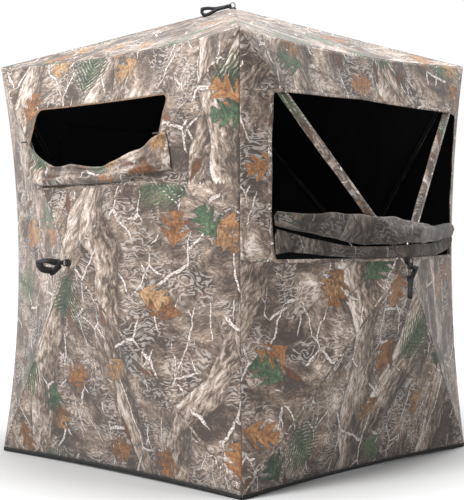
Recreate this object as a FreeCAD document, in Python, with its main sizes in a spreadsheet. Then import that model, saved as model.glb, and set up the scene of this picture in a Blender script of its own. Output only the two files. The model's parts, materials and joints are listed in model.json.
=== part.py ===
import FreeCAD, Part
import math
import os
from FreeCAD import Placement, Rotation, Vector

# Pop up ground blind: five cloth faces, each pulled out into a shallow pyramid by a hub and four poles.
# Millimetres, +Z up, origin on the ground at the middle of the footprint. Front is -Y, right is +X.

DIMENSIONS = {
    # cloth body
    "footprint": 1524,
    "eave_height": 1780,
    "wall_bulge": 220,
    "roof_rise": 275,
    "cloth": 2,
    "corner_draw": 53,
    "open_corner_draw": 40,
    "eave_draw": 45,
    "eave_sag": 20,
    "hem_draw": 15,
    "hem_lift": 10,
    "hem_height": 12,
    "hem_thick": 4,
    "hem_clear": 1.5,
    "hem_inset": 2,
    "seam_gap": 0.0015,
    "hub_hole": 0.988,
    # poles
    "pole_depth": 22,
    "pole_dia": 11,
    "wall_tip_gap": 90,
    "roof_tip_gap": 110,
    "ferrule_dia": 14,
    "ferrule_length": 60,
    "cap_dia": 14,
    "cap_length": 24,
    "cap_end": 4,
    "tongue_thick": 7,
    "tongue_run": 18,
    "sleeve_dia": 22,
    "sleeve_bore": 12.4,
    "sleeve_start": 120,
    "sleeve_end": 850,
    # hub
    "hub_dia": 76,
    "hub_thick": 26,
    "hub_drop": 16,
    "boss_dia": 14,
    "pin_circle": 52,
    "pin_dia": 6,
    "pin_length": 24,
    "pin_clear": 0.06,
    "slot_width": 9,
    "slot_start": 14,
    "bolt_dia": 8,
    "bolt_end": 2,
    "collar_dia": 32,
    "collar_thick": 4,
    "ring_dia": 24,
    "ring_wire": 4,
    "ring_play": 4,
    "nut_size": 14,
    "nut_thick": 6,
    # pull straps
    "strap_length": 150,
    "strap_width": 15,
    "strap_thick": 2.4,
    "strap_loop": 46,
    # corner patches and stake grommets
    "patch_leg": 95,
    "patch_thick": 3,
    "grommet_bore": 16,
    "grommet_flange": 28,
    "grommet_inset": 31,
    "patch_clear": 3,
    # windows and door
    "trim_width": 10,
    "trim_thick": 1.5,
    "trim_gap": 0.6,
    "trim_inset": 1,
    "window_radius": 34,
    "sill_radius": 12,
    "door_hinge": 684,
    "door_apex": 130,
    "door_margin": 16,
    "door_gap": 3,
    "door_radius": 24,
    "zip_end": 20,
    "slider_reach": 990,
    "slider_inset": 11,
    "slider_length": 20,
    "slider_width": 9,
    "slider_thick": 5,
    "slider_lift": 2,
    "pull_length": 26,
    "pull_width": 5,
    "pull_thick": 2,
    "fold_thick": 16,
    "cover_gap": 5,
    "cover_overlap": 16,
    "toggle_dia": 7,
    "toggle_length": 34,
    "toggle_lift": 26,
}

FACES = ("roof", "front", "right", "back", "left")
WALLS = ("front", "right", "back", "left")
WALL_TURN = {"front": 0, "right": 90, "back": 180, "left": 270}
CORNERS = {
    "upper_right": (1, 1),
    "upper_left": (-1, 1),
    "lower_left": (-1, -1),
    "lower_right": (1, -1),
}
# The cloth's curved corners draw in less beside the large opening in the right wall.
OPEN_SIDES = {("right", 1), ("back", -1)}
ROOF_CORNERS = {
    "back_right": (1, 1),
    "back_left": (-1, 1),
    "front_left": (-1, -1),
    "front_right": (1, -1),
}

doc = FreeCAD.newDocument("ground_blind")
sheet = doc.addObject("Spreadsheet::Sheet", "sizes")
for row, (alias, value) in enumerate(DIMENSIONS.items(), start=1):
    sheet.set("A%d" % row, alias)
    sheet.set("B%d" % row, str(value))
    sheet.setAlias("B%d" % row, alias)
doc.recompute()

nodes = []


def size(alias):
    return float(getattr(sheet, alias))


def keep(label, thing):
    """Names a finished sub-part and puts it on the list that is written out."""
    thing.Label = label
    nodes.append(thing)
    return thing


def bind(thing, **expressions):
    for prop, expression in expressions.items():
        thing.setExpression(prop, expression)
    return thing


def primitive(kind, name, place=None, **expressions):
    thing = doc.addObject(kind, name)
    bind(thing, **expressions)
    if place is not None:
        thing.Placement = place
    return thing


# ---------------------------------------------------------------- face frames
# A face's own frame: X along the face, Y up it, Z straight out, origin at the middle of its flat outline.

def face_place(face):
    half = size("footprint") / 2
    if face == "roof":
        return Placement(Vector(0, 0, size("eave_height")), Rotation())
    upright = Placement(Vector(0, -half, size("eave_height") / 2), Rotation(Vector(1, 0, 0), 90))
    return Placement(Vector(), Rotation(Vector(0, 0, 1), WALL_TURN[face])).multiply(upright)


def half_width():
    return size("footprint") / 2


def half_height(face):
    return half_width() if face == "roof" else size("eave_height") / 2


def bulge(face):
    return size("roof_rise") if face == "roof" else size("wall_bulge")


def side_draw(face, side):
    """How far a wall's upright edge is drawn in at its middle."""
    return size("open_corner_draw" if (face, side) in OPEN_SIDES else "corner_draw")


def face_corners(face):
    return ROOF_CORNERS if face == "roof" else CORNERS


# ---------------------------------------------------------------- cloth faces
# Each gore is a cone from its curved outer edge to the hub, so the cloth between two poles is drawn in as
# tight cloth is. Neighbouring faces share the same curved edge.

def outer_edges(face):
    """The four curved edges of a face, as (corner, middle, corner) points in its own frame."""
    x = half_width()
    y = half_height(face)
    if face == "roof":
        draw, sag = size("eave_draw"), size("eave_sag")
        middles = (
            Vector(0, y - draw, -sag),
            Vector(-x + draw, 0, -sag),
            Vector(0, -y + draw, -sag),
            Vector(x - draw, 0, -sag),
        )
        low = -y
    else:
        left, right = side_draw(face, -1), side_draw(face, 1)
        low = -y + size("hem_height") + size("hem_clear")
        middles = (
            Vector(0, y - size("eave_sag"), -size("eave_draw")),
            Vector(-x + left, 0, -left),
            Vector(0, low + size("hem_lift"), -size("hem_draw")),
            Vector(x - right, 0, -right),
        )
    corners = (Vector(x, y, 0), Vector(-x, y, 0), Vector(-x, low, 0), Vector(x, low, 0))
    return [(corners[i], middles[i], corners[(i + 1) % 4]) for i in range(4)]


def towards_hub(face, point, share):
    hub = Vector(0, 0, bulge(face))
    return point * (1 - share) + hub * share


def gore(face, edge, lift, thick):
    """One gore, between the seam at its outer edge and the hole at the hub, as a solid skin."""
    arcs = []
    for share in (size("seam_gap"), size("hub_hole")):
        points = [towards_hub(face, point, share) + Vector(0, 0, lift) for point in edge]
        arcs.append(Part.Arc(*points).toShape())
    skin = Part.makeRuledSurface(arcs[0], arcs[1])
    return skin.extrude(Vector(0, 0, thick))


def skin_gores(face, lift, thick, which=(0, 1, 2, 3)):
    """Skins that follow the face's cloth: lift is how far they stand out from the inner side."""
    edges = outer_edges(face)
    return [gore(face, edges[i], lift, thick) for i in which]


def skin_solid(face, lift, thick, which=(0, 1, 2, 3)):
    gores = skin_gores(face, lift, thick, which)
    if len(gores) == 1:
        return gores[0]
    return gores[0].multiFuse(gores[1:])


def prism(outline):
    """A deep prism that cuts every skin of a face, from its outline in the face's own frame."""
    depth = 2 * size("footprint")
    face = Part.Face(outline)
    face.translate(Vector(0, 0, -depth / 2))
    return face.extrude(Vector(0, 0, depth))


def rounded(points, radius):
    """A closed outline through the given corners, each rounded with an arc of the given radius."""
    count = len(points)
    trims = []
    for i in range(count):
        here = Vector(*points[i], 0)
        before = (Vector(*points[i - 1], 0) - here).normalize()
        after = (Vector(*points[(i + 1) % count], 0) - here).normalize()
        turn = math.acos(max(-1, min(1, before.dot(after))))
        cut = radius / math.tan(turn / 2)
        middle_way = (before + after).normalize()
        middle = here + middle_way * (radius / math.sin(turn / 2) - radius)
        trims.append((here + before * cut, middle, here + after * cut))
    edges = []
    for i, (start, middle, end) in enumerate(trims):
        edges.append(Part.Arc(start, middle, end).toShape())
        edges.append(Part.LineSegment(end, trims[(i + 1) % count][0]).toShape())
    return Part.Wire(edges)


def grown(outline, distance):
    return outline.makeOffset2D(distance, 0, False, False, False)


def cloth_part(label, face, shape):
    part = doc.addObject("Part::Feature", label)
    part.Shape = shape
    part.Placement = face_place(face)
    return keep(label, part)


# Outlines in each wall's own frame, as heights above its middle (hub height).

def front_window():
    corners = [(-432, 666), (410, 668), (412, 500), (262, 330), (-262, 330), (-424, 512)]
    return rounded(corners, size("window_radius"))


def left_window():
    corners = [(-360, 640), (360, 640), (352, 450), (240, 330), (-240, 330), (-352, 450)]
    return rounded(corners, size("window_radius"))


def right_window():
    """A very large opening. Its sill runs at hub height, with a tab of cloth that holds the hub."""
    top = [(-612, 658), (-46, 676), (668, 655)]
    sill = [(668, 12), (70, 12), (30, 34), (-30, 34), (-70, 12), (-576, 12)]
    return rounded(top + sill, size("sill_radius"))


def door_outline():
    """The back wall's side gore, inside its seams, with the sewn hinge edge upright."""
    slope = half_height("back") / half_width()
    margin = size("door_margin") * math.hypot(1, slope)
    hinge, apex = size("door_hinge"), size("door_apex")
    high = slope * hinge - margin
    low = slope * apex - margin
    corners = [(hinge, high), (apex, low), (apex, -low), (hinge, -high)]
    return rounded(corners, size("door_radius"))


def panel(label, face, outlines):
    """A face's cloth: four gores sewn edge to edge along the poles, less its openings."""
    solids = []
    for gore_solid in skin_gores(face, 0, size("cloth")):
        for outline in outlines:
            gore_solid = gore_solid.cut(prism(outline))
        solids += gore_solid.Solids
    cloth_part(label, face, Part.makeCompound(solids))


def border(outline):
    """A prism round the edge of an opening, as wide as its trim."""
    return prism(grown(outline, size("trim_width"))).cut(prism(grown(outline, size("trim_inset"))))


def edge_trim(label, face, outline, which):
    """A narrow binding that lies on the cloth all round an opening."""
    lift = size("cloth") + size("trim_gap")
    skin = skin_solid(face, lift, size("trim_thick"), which)
    cloth_part(label, face, skin.common(border(outline)))


def folded_cover(label, face, top, bottom, lift):
    """A lowered cover or screen as a plain slab of its folded thickness, outside its opening."""
    outline = Part.makePolygon([Vector(*p, 0) for p in top + bottom + top[:1]])
    skin = skin_solid(face, lift, size("fold_thick"))
    cloth_part(label, face, skin.common(prism(outline)))


def front_cover():
    """The lowered cover: its upper corners stay up on the toggles and its top edge sags between them."""
    top = [(-432, 512), (-330, 440), (-210, 402), (-100, 396), (110, 384), (314, 440), (412, 492)]
    bottom = [(432, 368), (300, 332), (-300, 326), (-440, 372)]
    lift = size("cloth") + size("trim_gap") + size("trim_thick") + size("cover_gap")
    folded_cover("front_window_cover", "front", top, bottom, lift)


def right_cover():
    """The big window's camouflage cover, folded in a band across the opening."""
    top = [(-572, 200), (-276, 190), (-143, 178), (128, 156), (650, 148)]
    bottom = [(650, 98), (394, 76), (34, 74), (-170, 74), (-368, 96), (-572, 142)]
    folded_cover("right_window_cover", "right", top, bottom, size("cover_gap"))


def right_mesh():
    """The big window's mesh screen, folded below the cover along the sill."""
    top = [(-572, 130), (-400, 88), (-268, 66), (32, 66), (394, 68), (650, 88)]
    bottom = [(650, 16), (-572, 16)]
    folded_cover("right_window_mesh", "right", top, bottom, size("cover_gap"))


def left_cover():
    """The closed cover behind the left wall's window."""
    skin = skin_solid("left", -size("cloth") - size("trim_gap"), size("cloth"))
    shape = skin.common(prism(grown(left_window(), size("cover_overlap"))))
    cloth_part("left_window_cover", "left", shape)


def beside(reach):
    """A large block from a face's middle line out to a reach along it."""
    span = 2 * size("eave_height")
    return Part.makeBox(reach, span, span, Vector(0, -span / 2, -span / 2))


def back_door():
    outline = door_outline()
    side = (3,)
    panel = skin_solid("back", 0, size("cloth"), side)
    cloth_part("door_panel", "back", panel.common(prism(grown(outline, -size("door_gap")))))
    lift = size("cloth") + size("trim_gap")
    tape = skin_solid("back", lift, size("trim_thick"), side)
    zipped = beside(size("door_hinge") - size("zip_end"))
    cloth_part("door_zip_tape", "back", tape.common(border(outline)).common(zipped))


def door_zip_slider():
    """The slider at the foot of the zip, where a closed door leaves it."""
    slope = half_height("back") / half_width()
    along = Vector(1, -slope, 0).normalize()
    hub = Vector(0, 0, bulge("back"))
    corner = Vector(half_width(), -half_height("back"), 0)
    ridge = (corner - hub).normalize()
    inside = Vector(slope, 1, 0).normalize()
    place = hub + ridge * size("slider_reach") + inside * size("slider_inset")
    length, width, thick = size("slider_length"), size("slider_width"), size("slider_thick")
    body = Part.makeBox(length, width, thick, Vector(-length / 2, -width / 2, 0))
    reach, broad, thin = size("pull_length"), size("pull_width"), size("pull_thick")
    corner = Vector(-length / 2 + thin - reach, -broad / 2, thick - thin)
    part = doc.addObject("Part::Feature", "door_zip_slider")
    part.Shape = body.fuse(Part.makeBox(reach, broad, thin, corner))
    turn = Rotation(ridge, inside, Vector(), "XYZ")
    lift = Vector(0, 0, size("cloth") + size("trim_gap") + size("trim_thick") + size("slider_lift"))
    part.Placement = face_place("back").multiply(Placement(place + lift, turn))
    keep("door_zip_slider", part)


TOGGLES = ((-432, 520), (426, 507))


def toggles():
    """Two small toggles that hold the front cover's upper corners."""
    parts = []
    length = size("toggle_length")
    for across, up in TOGGLES:
        centre = Vector(across, up, front_depth(across, up) + size("toggle_lift"))
        start = centre - Vector(length / 2, 0, 0)
        peg = Part.makeCylinder(size("toggle_dia") / 2, length, start, Vector(1, 0, 0))
        parts.append(peg)
    cloth_part("front_window_toggles", "front", Part.makeCompound(parts))


def front_depth(across, up):
    """How far the pole lines' flat gore planes stand out at a point of the front wall."""
    return bulge("front") * (1 - max(abs(across) / half_width(), abs(up) / half_height("front")))


def base_hem():
    """The black binding along the foot of each wall, one length a wall."""
    lengths = []
    for wall in WALLS:
        corner, middle, other = outer_edges(wall)[2]
        drop = Vector(0, -size("hem_height") - size("hem_clear"), 0)
        inset = Vector(size("hem_inset"), 0, 0)
        points = [corner + drop + inset, middle + drop, other + drop - inset]
        low = Part.Arc(*points).toShape()
        high = Part.Arc(*[p + Vector(0, size("hem_height"), 0) for p in points]).toShape()
        strip = Part.makeRuledSurface(low, high).extrude(Vector(0, 0, size("hem_thick")))
        strip.Placement = face_place(wall)
        lengths.append(strip)
    part = doc.addObject("Part::Feature", "base_hem")
    part.Shape = Part.makeCompound(lengths)
    keep("base_hem", part)


# ---------------------------------------------------------------- corner patches and grommets

def corner_patches():
    reach = half_width() - size("patch_clear")
    leg = size("patch_leg")
    inset = size("grommet_inset")
    patches, grommets = [], []
    for sx in (1, -1):
        for sy in (1, -1):
            points = [(reach, reach), (reach - leg, reach), (reach, reach - leg), (reach, reach)]
            wire = Part.makePolygon([Vector(sx * x, sy * y, 0) for x, y in points])
            patch = Part.Face(wire).extrude(Vector(0, 0, size("patch_thick")))
            centre = Vector(sx * (reach - inset), sy * (reach - inset), 0)
            seat = Part.makeCylinder(size("grommet_flange") / 2, size("patch_thick"), centre)
            bore = Part.makeCylinder(size("grommet_bore") / 2, size("patch_thick"), centre)
            patches.append(patch.cut(seat))
            grommets.append(seat.cut(bore))
    for label, solids in (("corner_patches", patches), ("stake_grommets", grommets)):
        part = doc.addObject("Part::Feature", label)
        part.Shape = Part.makeCompound(solids)
        keep(label, part)


# ---------------------------------------------------------------- hubs

def pin_depth(face):
    """How far a pole's pivot pin stands out from the flat outline of its face."""
    radial = math.hypot(half_width(), half_height(face))
    slope = bulge(face) / radial
    return bulge(face) - slope * size("pin_circle") / 2 - size("pole_depth") * math.hypot(1, slope)


def pole_directions(face):
    for name, (sx, sy) in face_corners(face).items():
        yield name, Vector(sx * half_width(), sy * half_height(face), 0).normalize()


def hub_block(face):
    """A slotted block with a boss that goes up through the cloth, bored for the eye bolt."""
    label = face + "_hub"
    top = bulge(face) - size("hub_drop")
    body = primitive("Part::Cylinder", label + "_body", Radius="sizes.hub_dia / 2",
                     Height="sizes.hub_thick")
    body.Placement.Base = Vector(0, 0, top - size("hub_thick"))
    boss = primitive("Part::Cylinder", label + "_boss", Radius="sizes.boss_dia / 2",
                     Height="sizes.hub_drop + sizes.hub_thick")
    boss.Placement.Base = Vector(0, 0, top - size("hub_thick"))
    cutters = [primitive("Part::Cylinder", label + "_bore", Radius="sizes.bolt_dia / 2",
                         Height="2 * sizes.roof_rise")]
    for _, way in pole_directions(face):
        turn = Rotation(Vector(1, 0, 0), way)
        slot = primitive("Part::Box", label + "_slot", Length="sizes.hub_dia",
                         Width="sizes.slot_width", Height="2 * sizes.hub_thick")
        across = Vector(-way.y, way.x, 0)
        corner = way * size("slot_start") - across * size("slot_width") / 2
        slot.Placement = Placement(corner + Vector(0, 0, top - 1.5 * size("hub_thick")), turn)
        hole = primitive("Part::Cylinder", label + "_pin_hole", Radius="sizes.pin_dia / 2",
                         Height="sizes.pin_length")
        hole.Placement = pin_place(face, way)
        cutters += [slot, hole]
    blank = doc.addObject("Part::Fuse", label + "_blank")
    blank.Base, blank.Tool = body, boss
    tools = doc.addObject("Part::MultiFuse", label + "_cuts")
    tools.Shapes = cutters
    block = doc.addObject("Part::Cut", label)
    block.Base, block.Tool = blank, tools
    block.Placement = face_place(face)
    keep(label, block)


def pin_place(face, way):
    across = Vector(-way.y, way.x, 0)
    centre = way * size("pin_circle") / 2 + Vector(0, 0, pin_depth(face))
    return Placement(centre - across * size("pin_length") / 2, Rotation(Vector(0, 0, 1), across))


def hub_fasteners(face):
    """The four pivot pins and the nut on the eye bolt."""
    label = face + "_hub_fasteners"
    solids = []
    for _, way in pole_directions(face):
        pin = primitive("Part::Cylinder", label + "_pin", pin_place(face, way),
                        Radius="sizes.pin_dia / 2", Height="sizes.pin_length")
        solids.append(pin)
    foot = bulge(face) - size("hub_drop") - size("hub_thick") - size("nut_thick")
    block = primitive("Part::Prism", label + "_nut_blank", Circumradius="sizes.nut_size / 2 / cos(30)",
                      Height="sizes.nut_thick")
    block.Polygon = 6
    hole = primitive("Part::Cylinder", label + "_nut_bore", Radius="sizes.bolt_dia / 2",
                     Height="sizes.nut_thick")
    for thing in (block, hole):
        thing.Placement.Base = Vector(0, 0, foot)
    nut = doc.addObject("Part::Cut", label + "_nut")
    nut.Base, nut.Tool = block, hole
    group = doc.addObject("Part::Compound", label)
    group.Links = solids + [nut]
    group.Placement = face_place(face)
    keep(label, group)


def eye_bolt(face):
    """The bolt through the hub, with the collar that clamps the cloth and the ring for the strap."""
    label = face + "_eye_bolt"
    base = bulge(face)
    foot = base - size("hub_drop") - size("hub_thick") - size("nut_thick") - size("bolt_end")
    shank = primitive("Part::Cylinder", label + "_shank", Radius="sizes.bolt_dia / 2")
    shank.Height = base - foot + size("collar_thick") + size("bolt_end")
    shank.Placement.Base = Vector(0, 0, foot)
    collar = primitive("Part::Cylinder", label + "_collar", Radius="sizes.collar_dia / 2",
                       Height="sizes.collar_thick")
    collar.Placement.Base = Vector(0, 0, base)
    ring = primitive("Part::Torus", label + "_ring", Radius1="sizes.ring_dia / 2",
                     Radius2="sizes.ring_wire / 2")
    ring.Placement = Placement(Vector(0, 0, ring_depth(face)), ring_turn(face))
    bolt = doc.addObject("Part::MultiFuse", label)
    bolt.Shapes = [shank, collar, ring]
    bolt.Placement = face_place(face)
    keep(label, bolt)


# The roof's strap lies down the front gore, in degrees from +X, clear of the front left pole.
ROOF_STRAP_TURN = 246


def ring_depth(face):
    return bulge(face) + size("collar_thick") + size("ring_dia") / 2


def swing_plane(face):
    """The strap slides round its ring in one plane, spanned by a level direction and an upward one."""
    if face == "roof":
        turn = math.radians(ROOF_STRAP_TURN)
        return Vector(math.cos(turn), math.sin(turn), 0), Vector(0, 0, 1)
    return Vector(0, 0, 1), Vector(0, 1, 0)


def ring_turn(face):
    level, rise = swing_plane(face)
    return Rotation(Vector(0, 0, 1), level.cross(rise))


# ---------------------------------------------------------------- poles

def pole_run(face, way):
    """Start point and unit direction of a pole, from its pin towards the corner, in the face's frame."""
    radial = math.hypot(half_width(), half_height(face))
    start = way * size("pin_circle") / 2 + Vector(0, 0, pin_depth(face))
    return start, (way * radial - Vector(0, 0, bulge(face))).normalize()


def pole_length(face):
    """From the pin to the end of the rubber cap."""
    radial = math.hypot(half_width(), half_height(face))
    gap = size("roof_tip_gap") if face == "roof" else size("wall_tip_gap")
    return (radial - gap - size("pin_circle") / 2) * math.hypot(radial, bulge(face)) / radial


def pole_place(face, way):
    """Local Z runs down the pole and local Y lies along the pivot pin."""
    start, along = pole_run(face, way)
    pin = Vector(-way.y, way.x, 0)
    return face_place(face).multiply(Placement(start, Rotation(Vector(), pin, along, "ZYX")))


def pole(face, corner, way):
    """A fibreglass rod, its steel ferrule with a pinned tongue, and its rubber end cap."""
    label = "%s_pole_%s" % (face, corner)
    length = pole_length(face)
    start = size("tongue_run")
    rod = primitive("Part::Cylinder", label + "_rod", Radius="sizes.pole_dia / 2")
    rod.Height = length - size("cap_end") - start
    rod.Placement.Base = Vector(0, 0, start)
    tongue = primitive("Part::Box", label + "_tongue", Length="sizes.ferrule_dia",
                       Width="sizes.tongue_thick", Height="sizes.tongue_run")
    tongue.Placement.Base = Vector(-size("ferrule_dia") / 2, -size("tongue_thick") / 2, 0)
    nose = primitive("Part::Cylinder", label + "_nose", Radius="sizes.ferrule_dia / 2",
                     Height="sizes.tongue_thick")
    nose.Placement = Placement(Vector(0, -size("tongue_thick") / 2, 0),
                               Rotation(Vector(0, 0, 1), Vector(0, 1, 0)))
    tube = primitive("Part::Cylinder", label + "_tube", Radius="sizes.ferrule_dia / 2",
                     Height="sizes.ferrule_length")
    tube.Placement.Base = Vector(0, 0, start)
    blank = doc.addObject("Part::MultiFuse", label + "_ferrule_blank")
    blank.Shapes = [tongue, nose, tube]
    eye = primitive("Part::Cylinder", label + "_eye", Radius="sizes.pin_dia / 2 + sizes.pin_clear",
                    Height="2 * sizes.tongue_thick")
    eye.Placement = Placement(Vector(0, -size("tongue_thick"), 0),
                              Rotation(Vector(0, 0, 1), Vector(0, 1, 0)))
    seat = primitive("Part::Cylinder", label + "_seat", Radius="sizes.pole_dia / 2",
                     Height="sizes.ferrule_length")
    seat.Placement.Base = Vector(0, 0, start)
    bores = doc.addObject("Part::Fuse", label + "_bores")
    bores.Base, bores.Tool = eye, seat
    ferrule = doc.addObject("Part::Cut", label + "_ferrule")
    ferrule.Base, ferrule.Tool = blank, bores
    cap_blank = primitive("Part::Cylinder", label + "_cap_blank", Radius="sizes.cap_dia / 2",
                          Height="sizes.cap_length")
    cap_bore = primitive("Part::Cylinder", label + "_cap_bore", Radius="sizes.pole_dia / 2",
                         Height="sizes.cap_length - sizes.cap_end")
    for thing in (cap_blank, cap_bore):
        thing.Placement.Base = Vector(0, 0, length - size("cap_length"))
    cap = doc.addObject("Part::Cut", label + "_cap")
    cap.Base, cap.Tool = cap_blank, cap_bore
    group = doc.addObject("Part::Compound", label)
    group.Links = [rod, ferrule, cap]
    group.Placement = pole_place(face, way)
    keep(label, group)


def pole_sleeve(label, way):
    """The cloth sleeve round a pole where it crosses the right window."""
    outer = primitive("Part::Cylinder", label + "_outer", Radius="sizes.sleeve_dia / 2",
                      Height="sizes.sleeve_end - sizes.sleeve_start")
    inner = primitive("Part::Cylinder", label + "_inner", Radius="sizes.sleeve_bore / 2",
                      Height="sizes.sleeve_end - sizes.sleeve_start")
    for thing in (outer, inner):
        thing.Placement.Base = Vector(0, 0, size("sleeve_start"))
    sleeve = doc.addObject("Part::Cut", label)
    sleeve.Base, sleeve.Tool = outer, inner
    sleeve.Placement = pole_place("right", way)
    keep(label, sleeve)


# ---------------------------------------------------------------- pull straps

# Degrees above level: the stiff webbing of the front and back straps stands out, the side ones hang down
# and the roof's strap lies over the cloth.
STRAP_AIM = {"front": 4, "right": -90, "back": 4, "left": -90, "roof": -16}


def strap_place(face):
    """Local X runs down the strap from the ring's wire, and local Z lies along the wire."""
    level, rise = swing_plane(face)
    aim = math.radians(STRAP_AIM[face])
    along = level * math.cos(aim) + rise * math.sin(aim)
    wire_way = rise * math.cos(aim) - level * math.sin(aim)
    wire = Vector(0, 0, ring_depth(face)) + along * size("ring_dia") / 2
    return face_place(face).multiply(Placement(wire, Rotation(along, Vector(), wire_way, "XZY")))


def loop_wire(small, large, length):
    """A teardrop: a small round end about the origin and a large one at the far end."""
    far = length - large
    tilt = math.asin((large - small) / far)
    points = {}
    for side in (1, -1):
        normal = Vector(-math.sin(tilt), side * math.cos(tilt), 0)
        points[side] = (normal * small, Vector(far, 0, 0) + normal * large)
    edges = []
    edges.append(Part.LineSegment(points[1][0], points[1][1]).toShape())
    edges.append(Part.Arc(points[1][1], Vector(length, 0, 0), points[-1][1]).toShape())
    edges.append(Part.LineSegment(points[-1][1], points[-1][0]).toShape())
    edges.append(Part.Arc(points[-1][0], Vector(-small, 0, 0), points[1][0]).toShape())
    return Part.Wire(edges)


def pull_strap(face):
    """A loop of webbing through the ring."""
    label = face + "_pull_strap"
    small = size("ring_wire") / 2 + size("ring_play")
    large = size("strap_loop") / 2
    thick = size("strap_thick")
    outer = Part.Face(loop_wire(small + thick, large, size("strap_length")))
    inner = Part.Face(loop_wire(small, large - thick, size("strap_length") - thick))
    shape = outer.cut(inner)
    shape.translate(Vector(0, 0, -size("strap_width") / 2))
    part = doc.addObject("Part::Feature", label)
    part.Shape = shape.extrude(Vector(0, 0, size("strap_width")))
    part.Placement = strap_place(face)
    keep(label, part)


# ---------------------------------------------------------------- assembly

def build():
    panel("roof_panel", "roof", [])
    panel("front_wall", "front", [front_window()])
    panel("right_wall", "right", [right_window()])
    panel("back_wall", "back", [door_outline()])
    panel("left_wall", "left", [left_window()])
    base_hem()
    corner_patches()
    edge_trim("front_window_binding", "front", front_window(), (0,))
    edge_trim("right_window_binding", "right", right_window(), (0, 1, 2, 3))
    front_cover()
    toggles()
    right_cover()
    right_mesh()
    left_cover()
    back_door()
    door_zip_slider()
    for face in FACES:
        hub_block(face)
        hub_fasteners(face)
        eye_bolt(face)
        pull_strap(face)
        for corner, way in pole_directions(face):
            pole(face, corner, way)
    for corner, way in pole_directions("right"):
        if corner.startswith("upper"):
            side = "back" if corner.endswith("right") else "front"
            pole_sleeve("right_window_sleeve_" + side, way)


def check_and_write():
    doc.recompute()
    for thing in doc.Objects:
        if "Invalid" in thing.State or "Error" in thing.State:
            raise RuntimeError("failed: " + thing.Label)
    os.makedirs("parts", exist_ok=True)
    for thing in nodes:
        if thing.Shape.isNull() or not thing.Shape.isValid() or thing.Shape.Volume <= 0:
            raise RuntimeError("bad shape: " + thing.Label)
        thing.Shape.exportStep("parts/%s.step" % thing.Label)
        print("%-32s %2d solids %12.1f mm3" % (thing.Label, len(thing.Shape.Solids), thing.Shape.Volume))
    print(len(nodes), "nodes")


build()
check_and_write()
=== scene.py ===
import json
import math
import bpy
import numpy as np
from mathutils import Matrix, Vector, geometry


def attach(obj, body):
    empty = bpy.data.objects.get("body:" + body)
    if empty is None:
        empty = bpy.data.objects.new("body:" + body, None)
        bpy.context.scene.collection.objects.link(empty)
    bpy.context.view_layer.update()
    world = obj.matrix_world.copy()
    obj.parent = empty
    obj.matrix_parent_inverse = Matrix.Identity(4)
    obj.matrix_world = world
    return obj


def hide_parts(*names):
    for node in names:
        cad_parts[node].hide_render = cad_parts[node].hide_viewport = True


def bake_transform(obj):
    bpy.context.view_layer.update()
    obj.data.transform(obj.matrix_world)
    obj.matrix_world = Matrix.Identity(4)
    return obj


# Looks of the pop up ground blind: cloth faces, trims, covers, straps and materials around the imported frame.
# Metres, +Z up, front wall towards -Y, right wall towards +X.

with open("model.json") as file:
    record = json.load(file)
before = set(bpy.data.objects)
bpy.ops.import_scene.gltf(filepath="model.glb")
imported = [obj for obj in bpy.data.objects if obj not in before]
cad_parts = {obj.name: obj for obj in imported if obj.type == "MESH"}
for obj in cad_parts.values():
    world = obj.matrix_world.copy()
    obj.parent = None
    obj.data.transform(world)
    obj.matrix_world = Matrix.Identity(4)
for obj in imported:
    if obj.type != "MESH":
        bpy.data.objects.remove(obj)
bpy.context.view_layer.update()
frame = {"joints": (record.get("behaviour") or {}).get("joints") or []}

FACES = ("roof", "front", "right", "back", "left")
TURN = {"roof": 0, "front": 0, "right": 90, "back": 180, "left": 270}
JOINTS = {joint["name"]: joint for joint in frame["joints"]}
HALF = -JOINTS["front_gore_fold"]["pos_m"][1]
EAVE = JOINTS["front_gore_fold"]["pos_m"][2]

# How far the cloth's outer edges are drawn in between their corners.
CORNER_DRAW = 0.053
OPEN_CORNER_DRAW = 0.040
EAVE_DRAW = 0.045
EAVE_SAG = 0.020
HEM_DRAW = 0.015
HEM_LIFT = 0.010
HEM_FOOT = 0.0135
CLOTH_MIDDLE = 0.001
CLOTH_THICK = 0.0012
MESH_STEP = 0.015
HUB_HOLE = 0.012
CUT_SPARE = 1.01
CORNERS = ((1, 1), (-1, 1), (-1, -1), (1, -1))

# Openings in each wall's own frame: across, and up from hub height. Each ends with its corner radius.
WINDOWS = {
    "front": ([(-0.432, 0.666), (0.410, 0.668), (0.412, 0.500), (0.262, 0.330), (-0.262, 0.330),
               (-0.424, 0.512)], 0.034),
    "left": ([(-0.360, 0.640), (0.360, 0.640), (0.352, 0.450), (0.240, 0.330), (-0.240, 0.330),
              (-0.352, 0.450)], 0.034),
    "right": ([(-0.612, 0.658), (-0.046, 0.676), (0.668, 0.655), (0.668, 0.012), (0.070, 0.012),
               (0.030, 0.034), (-0.030, 0.034), (-0.070, 0.012), (-0.576, 0.012)], 0.012),
}

# The back door: how far its hinge and its narrow end are from the wall's middle, its margin and corners.
DOOR_HINGE = 0.684
DOOR_APEX = 0.130
DOOR_MARGIN = 0.016
DOOR_RADIUS = 0.024

# Where each face lies on the printed roll.
PRINT_SHIFT = {"roof": (0.35, 2.30), "front": (0.0, 0.0), "right": (1.57, 0.21), "back": (3.21, 0.55),
               "left": (4.93, 0.13)}

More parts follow.
